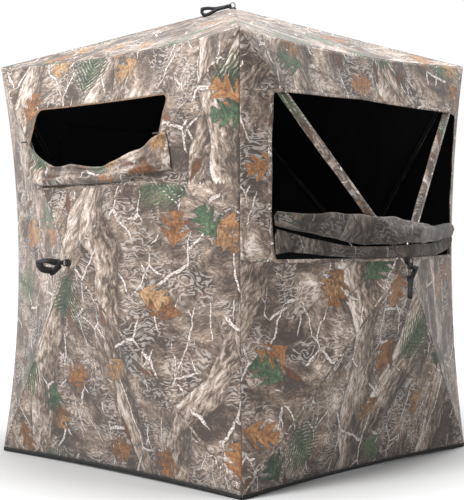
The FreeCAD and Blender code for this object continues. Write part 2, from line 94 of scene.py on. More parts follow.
# Panels sewn in with the print at another place: the pillars and the header beside the big window.
FAR = 1.2
PANELS = {
    "front": [[(-FAR, 0.312), (FAR, 0.312), (FAR, FAR), (-FAR, FAR)]],
    "right": [[(-FAR, 0.662), (-0.046, 0.681), (0.668, 0.660), (FAR, 0.655), (FAR, FAR), (-FAR, FAR)],
              [(-FAR, 0.010), (-0.5, 0.010), (-0.5, 0.662), (-FAR, 0.662)],
              [(0.6, 0.010), (FAR, 0.010), (FAR, 0.655), (0.6, 0.662)]],
}
SEAMS = {
    "front": [[(-0.36, 0.312), (0.36, 0.312)]],
    "right": [[(-0.72, 0.662), (-0.624, 0.662)], [(-0.715, 0.010), (-0.590, 0.010)]],
}


# ---------------------------------------------------------------- numbers

def noise(x, y, seed):
    """Smooth gradient noise from about -1 to 1, the same on every run."""
    left, low = np.floor(x).astype(np.int64), np.floor(y).astype(np.int64)
    dx, dy = x - left, y - low

    def corner(i, j):
        n = ((left + i) * 374761393 + (low + j) * 668265263 + seed * 974634777) & 0xFFFFFFFF
        n = ((n ^ (n >> 13)) * 1274126177) & 0xFFFFFFFF
        angle = (n ^ (n >> 16)) * (2 * math.pi / 0xFFFFFFFF)
        return np.cos(angle) * (dx - i) + np.sin(angle) * (dy - j)

    fx, fy = (d * d * d * (d * (d * 6 - 15) + 10) for d in (dx, dy))
    top = corner(0, 1) * (1 - fx) + corner(1, 1) * fx
    return 1.4 * ((corner(0, 0) * (1 - fx) + corner(1, 0) * fx) * (1 - fy) + top * fy)


def smooth(x):
    """0 up to 0, 1 from 1 on, and an even S between."""
    x = np.clip(x, 0, 1)
    return x * x * (3 - 2 * x)


def unit(vectors):
    return vectors / np.maximum(np.linalg.norm(vectors, axis=-1, keepdims=True), 1e-12)


def spaced(points, step, closed=False):
    """The same line with points evenly spaced between its corners, which stay."""
    points = [np.asarray(p, float) for p in points]
    pairs = list(zip(points, points[1:] + points[:1])) if closed else list(zip(points, points[1:]))
    made = []
    for a, b in pairs:
        count = max(1, round(float(np.linalg.norm(b - a)) / step))
        made += [a + (b - a) * i / count for i in range(count)]
    return np.array(made if closed else made + [points[-1]])


def rounded(corners, radius, steps=5):
    """A closed outline with each corner rounded by an arc."""
    made = []
    count = len(corners)
    for i in range(count):
        here = np.array(corners[i])
        before, after = (unit(np.array(corners[j % count]) - here) for j in (i - 1, i + 1))
        half = math.acos(np.clip(before @ after, -1, 1)) / 2
        centre = here + unit(before + after) * radius / math.sin(half)
        start, end = (here + way * radius / math.tan(half) - centre for way in (before, after))
        sweep = math.atan2(start[0] * end[1] - start[1] * end[0], start @ end)
        for k in range(steps + 1):
            angle = sweep * k / steps
            c, s = math.cos(angle), math.sin(angle)
            made.append(centre + np.array([start[0] * c - start[1] * s, start[0] * s + start[1] * c]))
    return np.array(made)


def inside(points, outline):
    """Whether each point lies inside a closed outline."""
    x, y = points[:, 0, None], points[:, 1, None]
    a, b = outline, np.roll(outline, -1, axis=0)
    spans = (a[:, 1] > y) != (b[:, 1] > y)
    rise = np.where(b[:, 1] == a[:, 1], 1, b[:, 1] - a[:, 1])
    return (spans & (x < a[:, 0] + (y - a[:, 1]) / rise * (b[:, 0] - a[:, 0]))).sum(1) % 2 == 1


# ---------------------------------------------------------------- cloth faces

class Face:
    """One cloth face, in its own frame: across, up and out, from the middle of its flat outline.

    A point of the cloth is found by its place on the cut, a square from -1 to 1 with the hub in the middle
    and the poles along its diagonals."""

    def __init__(self, name):
        self.name = name
        self.is_roof = name == "roof"
        self.half = np.array([HALF, HALF if self.is_roof else EAVE / 2])
        self.rise = JOINTS[name + "_hub_pop"]["range_m"][1] / 2
        self.seed = 10 * FACES.index(name)
        self.left_draw = OPEN_CORNER_DRAW if name == "back" else CORNER_DRAW
        self.right_draw = OPEN_CORNER_DRAW if name == "right" else CORNER_DRAW
        angle = math.radians(TURN[name])
        c, s = math.cos(angle), math.sin(angle)
        spin = np.array([[c, -s, 0], [s, c, 0], [0, 0, 1]])
        upright = np.array([[1, 0, 0], [0, 0, -1], [0, 1, 0]])
        self.axes = np.eye(3) if self.is_roof else spin @ upright
        self.origin = np.array([0, 0, EAVE]) if self.is_roof else spin @ np.array([0, -HALF, EAVE / 2])

    def radial(self, cut):
        """How far out each point is, 0 at the hub and 1 at the edge, and where across its gore."""
        size = np.abs(cut)
        reach = np.maximum(size.max(1), 1e-9)
        across = np.where(size[:, 0] >= size[:, 1], cut[:, 1], cut[:, 0]) / reach
        return reach, across

    def taut(self, cut):
        """The cloth as the poles hold it, with no wrinkles."""
        reach, across = self.radial(cut)
        side = np.abs(cut[:, 0]) >= np.abs(cut[:, 1])
        bow = 1 - across**2
        way = np.where(side, np.sign(cut[:, 0]), np.sign(cut[:, 1]))
        if self.is_roof:
            edge_x = np.where(side, way * (HALF - EAVE_DRAW * bow), across * HALF)
            edge_y = np.where(side, across * HALF, way * (HALF - EAVE_DRAW * bow))
            out = -EAVE_SAG * bow
        else:
            top, foot = self.half[1], HEM_FOOT - self.half[1]
            draw = np.where(way > 0, self.right_draw, self.left_draw)
            edge_x = np.where(side, way * (HALF - draw * bow), across * HALF)
            level = np.where(way > 0, top - EAVE_SAG * bow, foot + HEM_LIFT * bow)
            edge_y = np.where(side, (top + foot) / 2 + across * (top - foot) / 2, level)
            out = -np.where(side, draw, np.where(way > 0, EAVE_DRAW, HEM_DRAW)) * bow
        return np.stack([edge_x * reach, edge_y * reach, out * reach + self.rise * (1 - reach)], 1)

    def wrinkles(self, cut, local):
        """Soft folds between the poles, which die out at the poles and at the outer seams."""
        reach, across = self.radial(cut)
        held = smooth((1 - np.abs(across)) * reach * HALF / 0.11) * smooth((1 - reach) / 0.07)
        u, v = local[:, 0], local[:, 1]
        soft = 0.0050 * noise(u * 2.1, v * 2.1, self.seed) + 0.0022 * noise(u * 6.5, v * 6.5, self.seed + 1)
        crease = 1 - np.abs(noise(u * 3.3 + 0.8 * v, v * 2.4 - 0.9 * u, self.seed + 2))
        fan = 0.0014 * np.sin(across * 17 + 3 * noise(u * 3, v * 3, self.seed + 3)) * smooth(reach / 0.4)
        return held * (soft + 0.0035 * crease**6 + fan)

    def cloth(self, cut, lift=0.0):
        """Points of the wrinkled cloth's middle layer, raised by lift, in the face's frame."""
        local = self.taut(cut)
        local[:, 2] += CLOTH_MIDDLE + self.wrinkles(cut, local) + lift
        return local

    def find(self, flat):
        """The cut's points that lie at these places across and up."""
        cut = flat / self.half
        for _ in range(14):
            cut = np.clip(cut + (flat - self.taut(cut)[:, :2]) / self.half, -1, 1)
        return cut

    def world(self, local):
        return local @ self.axes.T + self.origin


face_of = {name: Face(name) for name in FACES}


# ---------------------------------------------------------------- meshes

def make(name, points, faces, materials, kinds=None, maps=None):
    """A smooth mesh piece. maps holds a list of corner places, two numbers each, for every named map."""
    mesh = bpy.data.meshes.new(name)
    mesh.from_pydata(np.asarray(points, float).tolist(), [], [list(map(int, f)) for f in faces])
    for material in materials:
        mesh.materials.append(material)
    if kinds is not None:
        mesh.polygons.foreach_set("material_index", np.asarray(kinds, np.int32))
    mesh.polygons.foreach_set("use_smooth", np.ones(len(mesh.polygons), bool))
    for key, values in (maps or {}).items():
        layer = mesh.uv_layers.new(name=key)
        layer.data.foreach_set("uv", np.asarray(values, np.float32).ravel())
    mesh.update()
    piece = bpy.data.objects.new(name, mesh)
    bpy.context.scene.collection.objects.link(piece)
    return piece


def corner_values(faces, values):
    """The value of each face's corners, one face after the other."""
    return np.concatenate([values[list(f)] for f in faces])


def vertex_normals(points, triangles):
    a, b, c = (points[triangles[:, i]] for i in range(3))
    flat = np.cross(b - a, c - a)
    total = np.zeros_like(points)
    for i in range(3):
        np.add.at(total, triangles[:, i], flat)
    return unit(total)


def rim_edges(triangles):
    """The directed edges that only one triangle has."""
    edges = np.concatenate([triangles[:, [0, 1]], triangles[:, [1, 2]], triangles[:, [2, 0]]])
    known = {(a, b) for a, b in edges.tolist()}
    return np.array([(a, b) for a, b in edges.tolist() if (b, a) not in known])


def follow_hub(piece, face):
    """Bakes the piece's placement into its points; the hub's place is worked out but not used."""
    middle = face.world(np.array([[0, 0, 0.0]]))[0]
    hub = face.world(np.array([[0, 0, face.rise]]))[0]
    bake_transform(piece)


def stand_for(node):
    """Hides the CAD node that the built piece replaces."""
    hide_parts(node)


def doubled(values):
    return np.concatenate([values, values])


def cut_triangles(face, holes, seams, region=None, step=MESH_STEP):
    """Triangles that cover a face's cut, or one region of it, with edges along poles, openings and seams."""
    turn = np.linspace(0, 2 * math.pi, 17)[:-1]
    hub = HUB_HOLE * np.stack([np.cos(turn), np.sin(turn)], 1)
    pitch = step / HALF
    if region is None:
        border = spaced([(-1, -1), (1, -1), (1, 1), (-1, 1)], pitch, closed=True)
        lines = [(border, True), (hub, True)]
        near = HUB_HOLE * math.sqrt(0.5)
        for sx, sy in CORNERS:
            lines.append((spaced([(sx * near, sy * near), (sx, sy)], pitch), False))
    else:
        border = face.find(spaced(region, step, closed=True))
        lines = [(border, True)]
    holes = [face.find(spaced(hole, step, closed=True)) for hole in holes]
    lines += [(hole, True) for hole in holes]
    lines += [(face.find(spaced(seam, step)), False) for seam in seams]
    fixed = np.concatenate([line for line, closed in lines])
    edges, first = [], 0
    for line, closed in lines:
        count = len(line)
        edges += [(first + i, first + i + 1) for i in range(count - 1)]
        if closed:
            edges.append((first + count - 1, first))
        first += count
    rows = np.arange(-1 + pitch, 1, pitch * 0.87)
    grid = np.array([(x + (0.5 * pitch if i % 2 else 0), y) for i, y in enumerate(rows)
                     for x in np.arange(-1 + 0.7 * pitch, 1 - 0.5 * pitch, pitch)])
    clear = np.array([((fixed - g)**2).sum(1).min() > (0.55 * pitch)**2 for g in grid])
    clear &= inside(grid, border)
    places = np.concatenate([fixed, grid[clear]])
    result = geometry.delaunay_2d_cdt([Vector(p) for p in places], edges, [], 0, 1e-7)
    cut = np.array([tuple(v) for v in result[0]])
    triangles = np.array([f for f in result[2] if len(f) == 3])
    centre = cut[triangles].mean(1)
    gone = inside(centre, hub) | ~inside(centre, border)
    for hole in holes:
        gone |= inside(centre, hole)
    triangles = triangles[~gone]
    a, b, c = (cut[triangles[:, i]] for i in range(3))
    area = (b[:, 0] - a[:, 0]) * (c[:, 1] - a[:, 1]) - (b[:, 1] - a[:, 1]) * (c[:, 0] - a[:, 0])
    triangles = np.where(area[:, None] < 0, triangles[:, [0, 2, 1]], triangles)[np.abs(area) > 1e-12]
    used, back = np.unique(triangles, return_inverse=True)
    return cut[used], back.reshape(-1, 3)


def panel_shift(face, centres):
    """Where each triangle's panel was cut from the printed roll."""
    shift = np.tile(np.array(PRINT_SHIFT[face.name]), (len(centres), 1))
    for index, region in enumerate(PANELS.get(face.name, [])):
        shift[inside(centres, np.array(region))] += np.array([0.62, 0.37]) * (index + 1)
    return shift


def shell(points, triangles, thickness):
    """Points and faces of a sheet of that thickness, with its rim closed, and the kind of each face."""
    normals = vertex_normals(points, triangles)
    count = len(points)
    both = np.concatenate([points + normals * thickness / 2, points - normals * thickness / 2])
    rim = [(a, b, b + count, a + count)[::-1] for a, b in rim_edges(triangles)]
    faces = triangles.tolist() + (triangles[:, ::-1] + count).tolist() + rim
    kinds = [0] * len(triangles) + [1] * len(triangles) + [0] * len(rim)
    return both, faces, kinds


def door_outline():
    """The door: one side gore of the back wall, less a margin beside the poles and at its narrow end."""
    slope = EAVE / 2 / HALF
    margin = DOOR_MARGIN * math.hypot(1, slope)
    high, low = slope * DOOR_HINGE - margin, slope * DOOR_APEX - margin
    corners = [(DOOR_HINGE, high), (DOOR_APEX, low), (DOOR_APEX, -low), (DOOR_HINGE, -high)]
    return rounded(corners, DOOR_RADIUS)


def cloth_face(name, node, holes):
    """A face's whole cloth, printed outside and black inside, with its openings cut out."""
    face = face_of[name]
    cut, triangles = cut_triangles(face, holes, SEAMS.get(name, []))
    local = face.cloth(cut)
    points, faces, kinds = shell(face.world(local), triangles, CLOTH_THICK)
    shift = np.repeat(panel_shift(face, local[triangles][:, :, :2].mean(1)), 3, 0)
    rim_corners = 4 * (len(faces) - 2 * len(triangles))
    shifts = np.concatenate([shift, shift, np.tile(np.array(PRINT_SHIFT[name]), (rim_corners, 1))])
    places = corner_values(faces, doubled(local[:, :2])) + shifts
    piece = make(node + "_cloth", points, faces, [CAMO, LINING], kinds, {"print": places})
    follow_hub(piece, face)
    stand_for(node)
    width, height = 2 * face.half * CUT_SPARE
    area = min(flat_area(local, triangles), width * height)


def corner_names(name):
    """The names of a face's poles, in the order of CORNERS."""
    if name == "roof":
        return ("back_right", "back_left", "front_left", "front_right")
    return ("upper_right", "upper_left", "lower_left", "lower_right")


# ---------------------------------------------------------------- folded and sewn pieces

def curve(points, count, closed=False):
    """A smooth line of evenly spaced points through the given ones."""
    points = np.asarray(points, float)
    if closed:
        points = np.concatenate([points, points[:1]])
    steps = np.concatenate([[0], np.cumsum(np.linalg.norm(np.diff(points, axis=0), axis=1))])
    slopes = np.gradient(points, steps, axis=0)
    if closed:
        slopes[0] = slopes[-1] = (points[1] - points[-2]) / (steps[1] + steps[-1] - steps[-2])
    place = np.linspace(0, steps[-1], count, endpoint=not closed)
    i = np.clip(np.searchsorted(steps, place, side="right") - 1, 0, len(steps) - 2)
    span = (steps[i + 1] - steps[i])[:, None]
    x = (place - steps[i])[:, None] / span
    ease = x * x * (3 - 2 * x)
    start, end = x * (1 - x) ** 2 * span, x * x * (x - 1) * span
    return points[i] * (1 - ease) + points[i + 1] * ease + slopes[i] * start + slopes[i + 1] * end


def lengths(grid, axis):
    """Mean distance along one way of a grid of points, from 0."""
    gaps = np.linalg.norm(np.diff(grid, axis=axis), axis=2).mean(1 - axis)
    return np.concatenate([[0], np.cumsum(gaps)])


def cloth_strip(name, grid, materials, shift, thickness=CLOTH_THICK, wrap=False):
    """A thin sheet through a grid of points. wrap joins its last column to its first, as in a sleeve."""
    rows, columns = grid.shape[:2]
    if wrap:
        grid = np.concatenate([grid, grid[:, :1]], 1)
    along, across = lengths(grid, 0), lengths(grid, 1)
    number = np.arange(rows * columns).reshape(rows, columns)
    if wrap:
        number = np.concatenate([number, number[:, :1]], 1)
    triangles, places = [], []
    for i in range(rows - 1):
        for j in range(number.shape[1] - 1):
            corners = ((i, j), (i + 1, j), (i + 1, j + 1), (i, j + 1))
            for trio in ((0, 1, 2), (0, 2, 3)):
                triangles.append([number[corners[k]] for k in trio])
                places.append([(along[corners[k][0]], across[corners[k][1]]) for k in trio])
    triangles = np.array(triangles)
    points = grid[:, :columns].reshape(-1, 3)
    both, faces, kinds = shell(points, triangles, thickness)
    places = np.array(places)
    rim = len(faces) - 2 * len(triangles)
    corners = np.concatenate([places.reshape(-1, 2), places[:, ::-1].reshape(-1, 2), np.zeros((4 * rim, 2))])
    maps = {"print": corners + np.array(shift)}
    piece = make(name, both, faces, materials, kinds if len(materials) > 1 else None, maps)
    size = (float(along[-1]), float(across[-1]))
    return piece, size


def ribbon(face, line, section, closed, scale=1.0):
    """Rings of points round a tape sewn along a flat line, and where they lie on the cut.

    section lists how far to one side and how far out each of its corners lies, and scale raises it."""
    ahead = np.roll(line, -1, 0) - np.roll(line, 1, 0)
    if not closed:
        ahead[0], ahead[-1] = line[1] - line[0], line[-1] - line[-2]
    sideways = unit(np.stack([ahead[:, 1], -ahead[:, 0]], 1))
    if closed and inside(line[:1] + sideways[:1] * 0.004, line)[0]:
        sideways = -sideways
    section = np.array(section)
    flat = line[:, None] + sideways[:, None] * section[None, :, :1]
    raised = section[:, 1] * np.broadcast_to(scale, len(line))[:, None]
    points, cut = placed_on(face, flat, raised)
    return points, cut


def loft(rings, closed=False):
    """Faces that join rings of points, capped at open ends, and each corner's distance along and round."""
    count, size = rings.shape[:2]
    loop = np.concatenate([rings, rings[:, :1]], 1)
    line = np.concatenate([rings, rings[:1]]) if closed else rings
    along, across = lengths(line, 0), lengths(loop, 1)
    faces, places = [], []
    for i in range(len(line) - 1):
        a, b = i * size, (i + 1) % count * size
        for j in range(size):
            k = (j + 1) % size
            faces.append((a + j, a + k, b + k, b + j))
            places += [(along[i], across[j]), (along[i], across[j + 1]),
                       (along[i + 1], across[j + 1]), (along[i + 1], across[j])]
    if not closed:
        for ring, end in ((0, 0), (count - 1, -1)):
            faces.append(tuple(ring * size + j for j in range(size)))
            places += [(along[end], across[j]) for j in range(size)]
    return rings.reshape(-1, 3), faces, np.array(places)


def joined(parts):
    """Several lofts as one mesh's points, faces and corner places."""
    points, faces, places, first = [], [], [], 0
    for part_points, part_faces, part_places in parts:
        points.append(part_points)
        faces += [tuple(i + first for i in f) for f in part_faces]
        places.append(part_places)
        first += len(part_points)
    return np.concatenate(points), faces, np.concatenate(places)


# Sections of the sewn tapes: how far to one side and how far out each corner lies.
TAPE_WIDTH = 0.010
TAPE = [(-0.0018, 0.0), (-0.0012, 0.0020), (0.0015, 0.0026), (0.0060, 0.0024), (0.0095, 0.0020),
        (0.0100, 0.0008), (0.0095, -0.0018), (0.0015, -0.0022), (-0.0012, -0.0018)]
SEAM = [(-0.0045, 0.0004), (-0.0040, 0.0014), (-0.0015, 0.0022), (0.0030, 0.0020), (0.0042, 0.0011),
        (0.0045, 0.0004)]
HEM = [(0.0015, 0.0024), (-0.0060, 0.0030), (-0.0130, 0.0024), (-0.0135, 0.0005), (-0.0130, -0.0016),
       (-0.0060, -0.0020), (0.0015, -0.0014)]


def window_binding(name, node, width, material, rolled=False):
    """The tape round a window's edge, thicker along the sill where cloth is rolled in it."""
    face = face_of[name]
    outline = spaced(rounded(*WINDOWS[name]), MESH_STEP, closed=True)
    section = [(x * width / TAPE_WIDTH if x > 0 else x, y) for x, y in TAPE]
    scale = 1 + 2.6 * smooth((0.055 - outline[:, 1]) / 0.03) if rolled else 1.0
    rings, cut = ribbon(face, outline, section, True, scale)
    points, faces, places = loft(rings, closed=True)
    piece = make(node + "_tape", points, faces, [material], maps={"print": places})
    follow_hub(piece, face)
    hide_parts(node)
    return piece


def seam_strips(name):
    """Raised seams along the poles and the panel joins of a face."""
    face = face_of[name]
    lines = []
    for sx, sy in CORNERS:
        line = spaced([(sx * 0.03, sy * 0.03), (sx * 0.995, sy * 0.995)], 0.03)
        flat = face.taut(line)[:, :2]
        if name in WINDOWS:
            flat = flat[~inside(flat, rounded(*WINDOWS[name]))]
        lines.append(flat)
    lines += [spaced(seam, MESH_STEP) for seam in SEAMS.get(name, [])]
    ribbons = [ribbon(face, line, SEAM, False) for line in lines]
    points, faces, places = joined([loft(rings) for rings, cut in ribbons])
    maps = {"print": places + np.array(PRINT_SHIFT[name])}
    piece = make(name + "_seams", points, faces, [CAMO], maps=maps)
    follow_hub(piece, face)


def base_hem():
    """The black tape along the foot of each wall."""
    parts = []
    for name in ("front", "right", "back", "left"):
        face = face_of[name]
        across = np.linspace(-0.998, 0.998, 110)
        edge = face.cloth(np.stack([across, -np.ones_like(across)], 1))
        wave = 0.0012 * noise(across * 14, across * 0, face.seed + 5)
        rings = edge[:, None] + np.array([(0, down, out) for down, out in HEM])
        rings[:, :, 2] += wave[:, None]
        parts.append(loft(face.world(rings)))
    points, faces, places = joined(parts)
    piece = make("base_hem_tape", points, faces, [TAPE_CLOTH], maps={"print": places})
    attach(piece, "shell")
    stand_for("base_hem")


def placed_on(face, base, lift):
    """World points at flat places, raised above the cloth by lift, and where they lie on the cut."""
    cut = face.find(base.reshape(-1, 2))
    local = face.cloth(cut)
    local[:, 2] += lift.ravel()
    return face.world(local).reshape(*base.shape[:2], 3), cut


# The front cover's upper and lower lines on the wall, the height of its seam, and its section: the share of
# the way from the lower line to the upper one, the drop below it and how far it stands out.
COVER_SEAM = 0.322
COVER_TOP = [(-0.440, 0.520), (-0.385, 0.488), (-0.320, 0.448), (-0.235, 0.410), (-0.200, 0.402),
             (-0.150, 0.404), (-0.100, 0.410), (-0.040, 0.402), (0.060, 0.393), (0.115, 0.392),
             (0.150, 0.402), (0.300, 0.444), (0.350, 0.454), (0.405, 0.494), (0.452, 0.512)]
COVER_FOOT = [(-0.446, 0.372), (-0.370, 0.352), (-0.300, 0.338), (-0.150, 0.336), (0.0, 0.338),
              (0.150, 0.340), (0.300, 0.350), (0.370, 0.360), (0.464, 0.376)]
COVER_FOLD = [(0.02, 0.0, 0.003), (0.0, -0.009, 0.012), (0.0, -0.011, 0.024), (0.03, -0.002, 0.034),
              (0.20, 0.0, 0.035), (0.42, 0.0, 0.027), (0.72, 0.0, 0.019), (0.94, 0.0, 0.018),
              (1.00, 0.0, 0.014), (0.985, 0.0, 0.008), (0.75, 0.0, 0.006), (0.40, 0.0, 0.007),
              (0.15, 0.0, 0.010)]

# Upper and lower lines of the two bundles across the right wall's window.
BUNDLE_ROWS = 110
SCREEN_THICK = 0.001
BAND_TOP = [(-0.578, 0.200), (-0.422, 0.191), (-0.276, 0.190), (-0.143, 0.178), (0.000, 0.168),
            (0.128, 0.157), (0.300, 0.152), (0.450, 0.150), (0.650, 0.150)]
BAND_FOOT = [(-0.578, 0.143), (-0.496, 0.126), (-0.368, 0.096), (-0.269, 0.083), (-0.170, 0.074),
             (0.034, 0.073), (0.200, 0.073), (0.394, 0.078), (0.560, 0.092), (0.650, 0.106)]
SCREEN_TOP = [(-0.576, 0.129), (-0.496, 0.109), (-0.400, 0.086), (-0.268, 0.065), (-0.136, 0.060),
              (0.032, 0.068), (0.200, 0.071), (0.394, 0.076), (0.560, 0.090), (0.648, 0.104)]
SCREEN_FOOT = [(-0.576, 0.036), (-0.520, 0.044), (-0.470, 0.038), (-0.333, 0.019), (-0.066, 0.014),
               (0.200, 0.015), (0.450, 0.020), (0.560, 0.034), (0.648, 0.052)]

# The left window's cover, and the back door with its tapes.
COVER_OVERLAP = 0.016
COVER_BEHIND = -0.0045
DOOR_GAP = 0.003
SEWN_STRIP = 0.020
DOOR_TAPE_MIDDLE = -0.0075
DOOR_TAPE_HALF = 0.0065
ZIP_TAPE_MIDDLE = 0.006
ZIP_TAPE_HALF = 0.009


def front_cover():
    """The cover unhooked from the window's top: a swag between two toggles, bunched at its seam."""
    face = face_of["front"]
    rows, columns = 100, 40
    top, foot = curve(COVER_TOP, rows), curve(COVER_FOOT, rows)
    fold = curve(COVER_FOLD, columns)
    share, drop, out = fold[:, 0], fold[:, 1], fold[:, 2]
    base = foot[:, None] + (top - foot)[:, None] * share[None, :, None]
    base[:, :, 1] += drop
    u = base[:, :, 0]
    turn = np.linspace(0, 1, columns)[None, :] + 0 * u
    ripple = 0.0045 * noise(u * 5.0, turn * 7.0, 71) + 0.0035 * noise(u * 13 + 2 * turn, turn * 11, 72)
    swag = 0.0040 * np.sin(2 * math.pi * (share[None] * 2.4 + 0.5 * noise(u * 3.2, 0 * u, 73)))
    front = smooth((out - 0.010) / 0.008)
    lift = out[None] + (ripple + swag * (share > 0.05)) * front[None]
    lift = lift * (1 - 0.78 * smooth((np.abs(u) - 0.375) / 0.075)) + 0.002
    base[:, :, 1] += 0.004 * noise(u * 9, turn * 3, 74) * front
    base[:, 0, 1] -= (foot[:, 1] - COVER_SEAM) * smooth((0.36 - np.abs(foot[:, 0])) / 0.10)
    grid, cut = placed_on(face, base, lift)
    piece, size = cloth_strip("front_window_cover_cloth", grid, [CAMO, LINING], (2.2, 1.31))
    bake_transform(piece)
    doubled(smooth(np.tile(share, rows)))
    stand_for("front_window_cover")


def bundle(face, top, foot, uneven, stand, bulk, turns, columns, seed, crease, twist):
    """A sheet rolled loosely into a flat bundle between two lines on the cloth.

    It stands that far off the cloth, and bulk gives its depth: a length, and a share of its half height."""
    top, foot = curve(top, BUNDLE_ROWS), curve(foot, BUNDLE_ROWS)
    middle, half = (top + foot) / 2, (top - foot)[:, 1] / 2
    half = half * (1 + uneven * noise(middle[:, 0] * 6, 0 * half, seed - 1))
    depth = bulk[0] + bulk[1] * half
    across = np.linspace(0, 1, BUNDLE_ROWS)[:, None]
    angle = np.linspace(0, 2 * math.pi * turns, columns)
    share = 1 - 0.16 * angle / (2 * math.pi)
    u = middle[:, 0][:, None]
    wave = noise(u * 4.5 + 0 * angle, angle * 1.1 + 0 * u, seed)
    fine = noise(u * 12 + 0.7 * angle, angle * 2.3 + 0 * u, seed + 1)
    pleat = np.sin(angle * 4 + 4.0 * noise(u * 2.5, 0 * u, seed + 2) + twist * across**3)
    swell = 1 + crease * (0.22 * wave + 0.12 * fine + 0.10 * pleat)
    up = middle[:, 1][:, None] + half[:, None] * np.cos(angle) * share * swell
    base = np.stack([u + 0 * angle, up], 2)
    return placed_on(face, base, stand + depth[:, None] * np.sin(angle) * share * swell)


def right_cover():
    """The big window's cover, gathered into a band across the opening and tied at its front end."""
    face = face_of["right"]
    grid, cut = bundle(face, BAND_TOP, BAND_FOOT, 0.10, 0.018, (0.010, 0.10), 1.7, 56, 82, 1.0, 9.0)
    # The band is drawn with the print darkened as painted shade.
    piece, size = cloth_strip("right_window_cover_cloth", grid, [SHADED_CAMO], (0.7, 3.17))
    follow_hub(piece, face)
    stand_for("right_window_cover")


def right_mesh():
    """The big window's mesh screen, dropped in loose folds on the sill."""
    face = face_of["right"]
    grid, cut = bundle(face, SCREEN_TOP, SCREEN_FOOT, 0.0, 0.013, (0.006, 0.06), 1.6, 48, 93, 0.8, 4.0)
    piece, size = cloth_strip("right_window_mesh_cloth", grid, [SCREEN], (0.0, 0.0), SCREEN_THICK)
    follow_hub(piece, face)
    stand_for("right_window_mesh")


def fitted_panel(name, face, outline, lift, shift):
    """A single panel that lies as a face's cloth does, inside an outline: its piece, places and area."""
    cut, triangles = cut_triangles(face, [], [], region=outline)
    local = face.cloth(cut, lift)
    points, faces, kinds = shell(face.world(local), triangles, CLOTH_THICK)
    places = corner_values(faces, doubled(local[:, :2])) + np.array(shift)
    piece = make(name, points, faces, [CAMO, LINING], kinds, {"print": places})
    return piece, cut, np.ptp(local, 0), flat_area(local, triangles)


def left_cover():
    """The closed cover behind the left wall's window."""
    face = face_of["left"]
    outline = grown(rounded(*WINDOWS["left"]), COVER_OVERLAP)
    piece, cut, span, area = fitted_panel("left_window_cover_cloth", face, outline, COVER_BEHIND, (6.1, 0.4))
    follow_hub(piece, face)
    stand_for("left_window_cover")


def flat_area(points, triangles):
    """The cloth's area when it is laid out flat."""
    a, b, c = (points[triangles[:, i]] for i in range(3))
    return float(np.linalg.norm(np.cross(b - a, c - a), axis=1).sum() / 2)


def grown(outline, distance):
    """The outline moved outwards, or inwards for a distance below 0."""
    ahead = np.roll(outline, -1, 0) - np.roll(outline, 1, 0)
    sideways = unit(np.stack([ahead[:, 1], -ahead[:, 0]], 1))
    if inside(outline[:1] + sideways[:1] * 0.002, outline)[0]:
        sideways = -sideways
    return outline + sideways * distance


def door():
    """The door's cloth with the tape along its free edges, and the wall's zip tape with its coil."""
    face = face_of["back"]
    outline = spaced(door_outline(), MESH_STEP, closed=True)
    inner = grown(door_outline(), -DOOR_GAP)
    piece, cut, span, area = fitted_panel("door_panel_cloth", face, inner, 0.0, PRINT_SHIFT["back"])
    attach(piece, "door")
    stand_for("door_panel")
    free = outline[outline[:, 0] < DOOR_HINGE - SEWN_STRIP]
    start = int(np.argmax(np.linalg.norm(free - np.roll(free, 1, 0), axis=1)))
    free = np.roll(free, -start, 0)
    edge_rings, cut = ribbon(face, free, tape_section(DOOR_TAPE_MIDDLE, DOOR_TAPE_HALF), False)
    points, faces, places = loft(edge_rings)
    tape = make("door_edge_tape", points, faces, [ZIP_TAPE], maps={"print": places})
    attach(tape, "door")
    coil = [(0.0022 * math.cos(a), 0.0032 + 0.0018 * math.sin(a)) for a in np.linspace(0, 5.5, 8)]
    sections = (tape_section(ZIP_TAPE_MIDDLE, ZIP_TAPE_HALF), coil)
    ribbons = [ribbon(face, free, section, False) for section in sections]
    points, faces, places = joined([loft(rings) for rings, cut in ribbons])
    tape = make("door_zip_tape_cloth", points, faces, [ZIP_TAPE], maps={"print": places})
    follow_hub(tape, face)
    stand_for("door_zip_tape")


def tape_section(middle, half):
    """A flat tape's section for a ribbon, from one edge to the other."""
    left, right = middle - half, middle + half
    return [(left, 0.0008), (left, 0.0022), (right, 0.0022), (right, 0.0008)]


# Poles, and the sleeves on two of them, measured from the hub's pin.
PIN_CIRCLE = 0.026
POLE_DEPTH = 0.022
ROD_RADIUS = 0.0058
TONGUE_END = 0.018
FERRULE_END = 0.0785
CAP_LENGTH = 0.0245
SLEEVE_ENDS = (0.108, 0.875)
SLEEVE_HALF = 0.0205
SLEEVE_DEPTH = 0.0092


def pole_axis(name, way):
    """Where a pole's pin is and which way the pole runs, in its face's frame."""
    face = face_of[name]
    radial = math.hypot(*face.half)
    slope = face.rise / radial
    flat = unit(np.array(way) * face.half)
    depth = face.rise - slope * PIN_CIRCLE - POLE_DEPTH * math.hypot(1, slope)
    start = np.array([*flat * PIN_CIRCLE, depth])
    return start, unit(np.array([*flat * radial, -face.rise]))


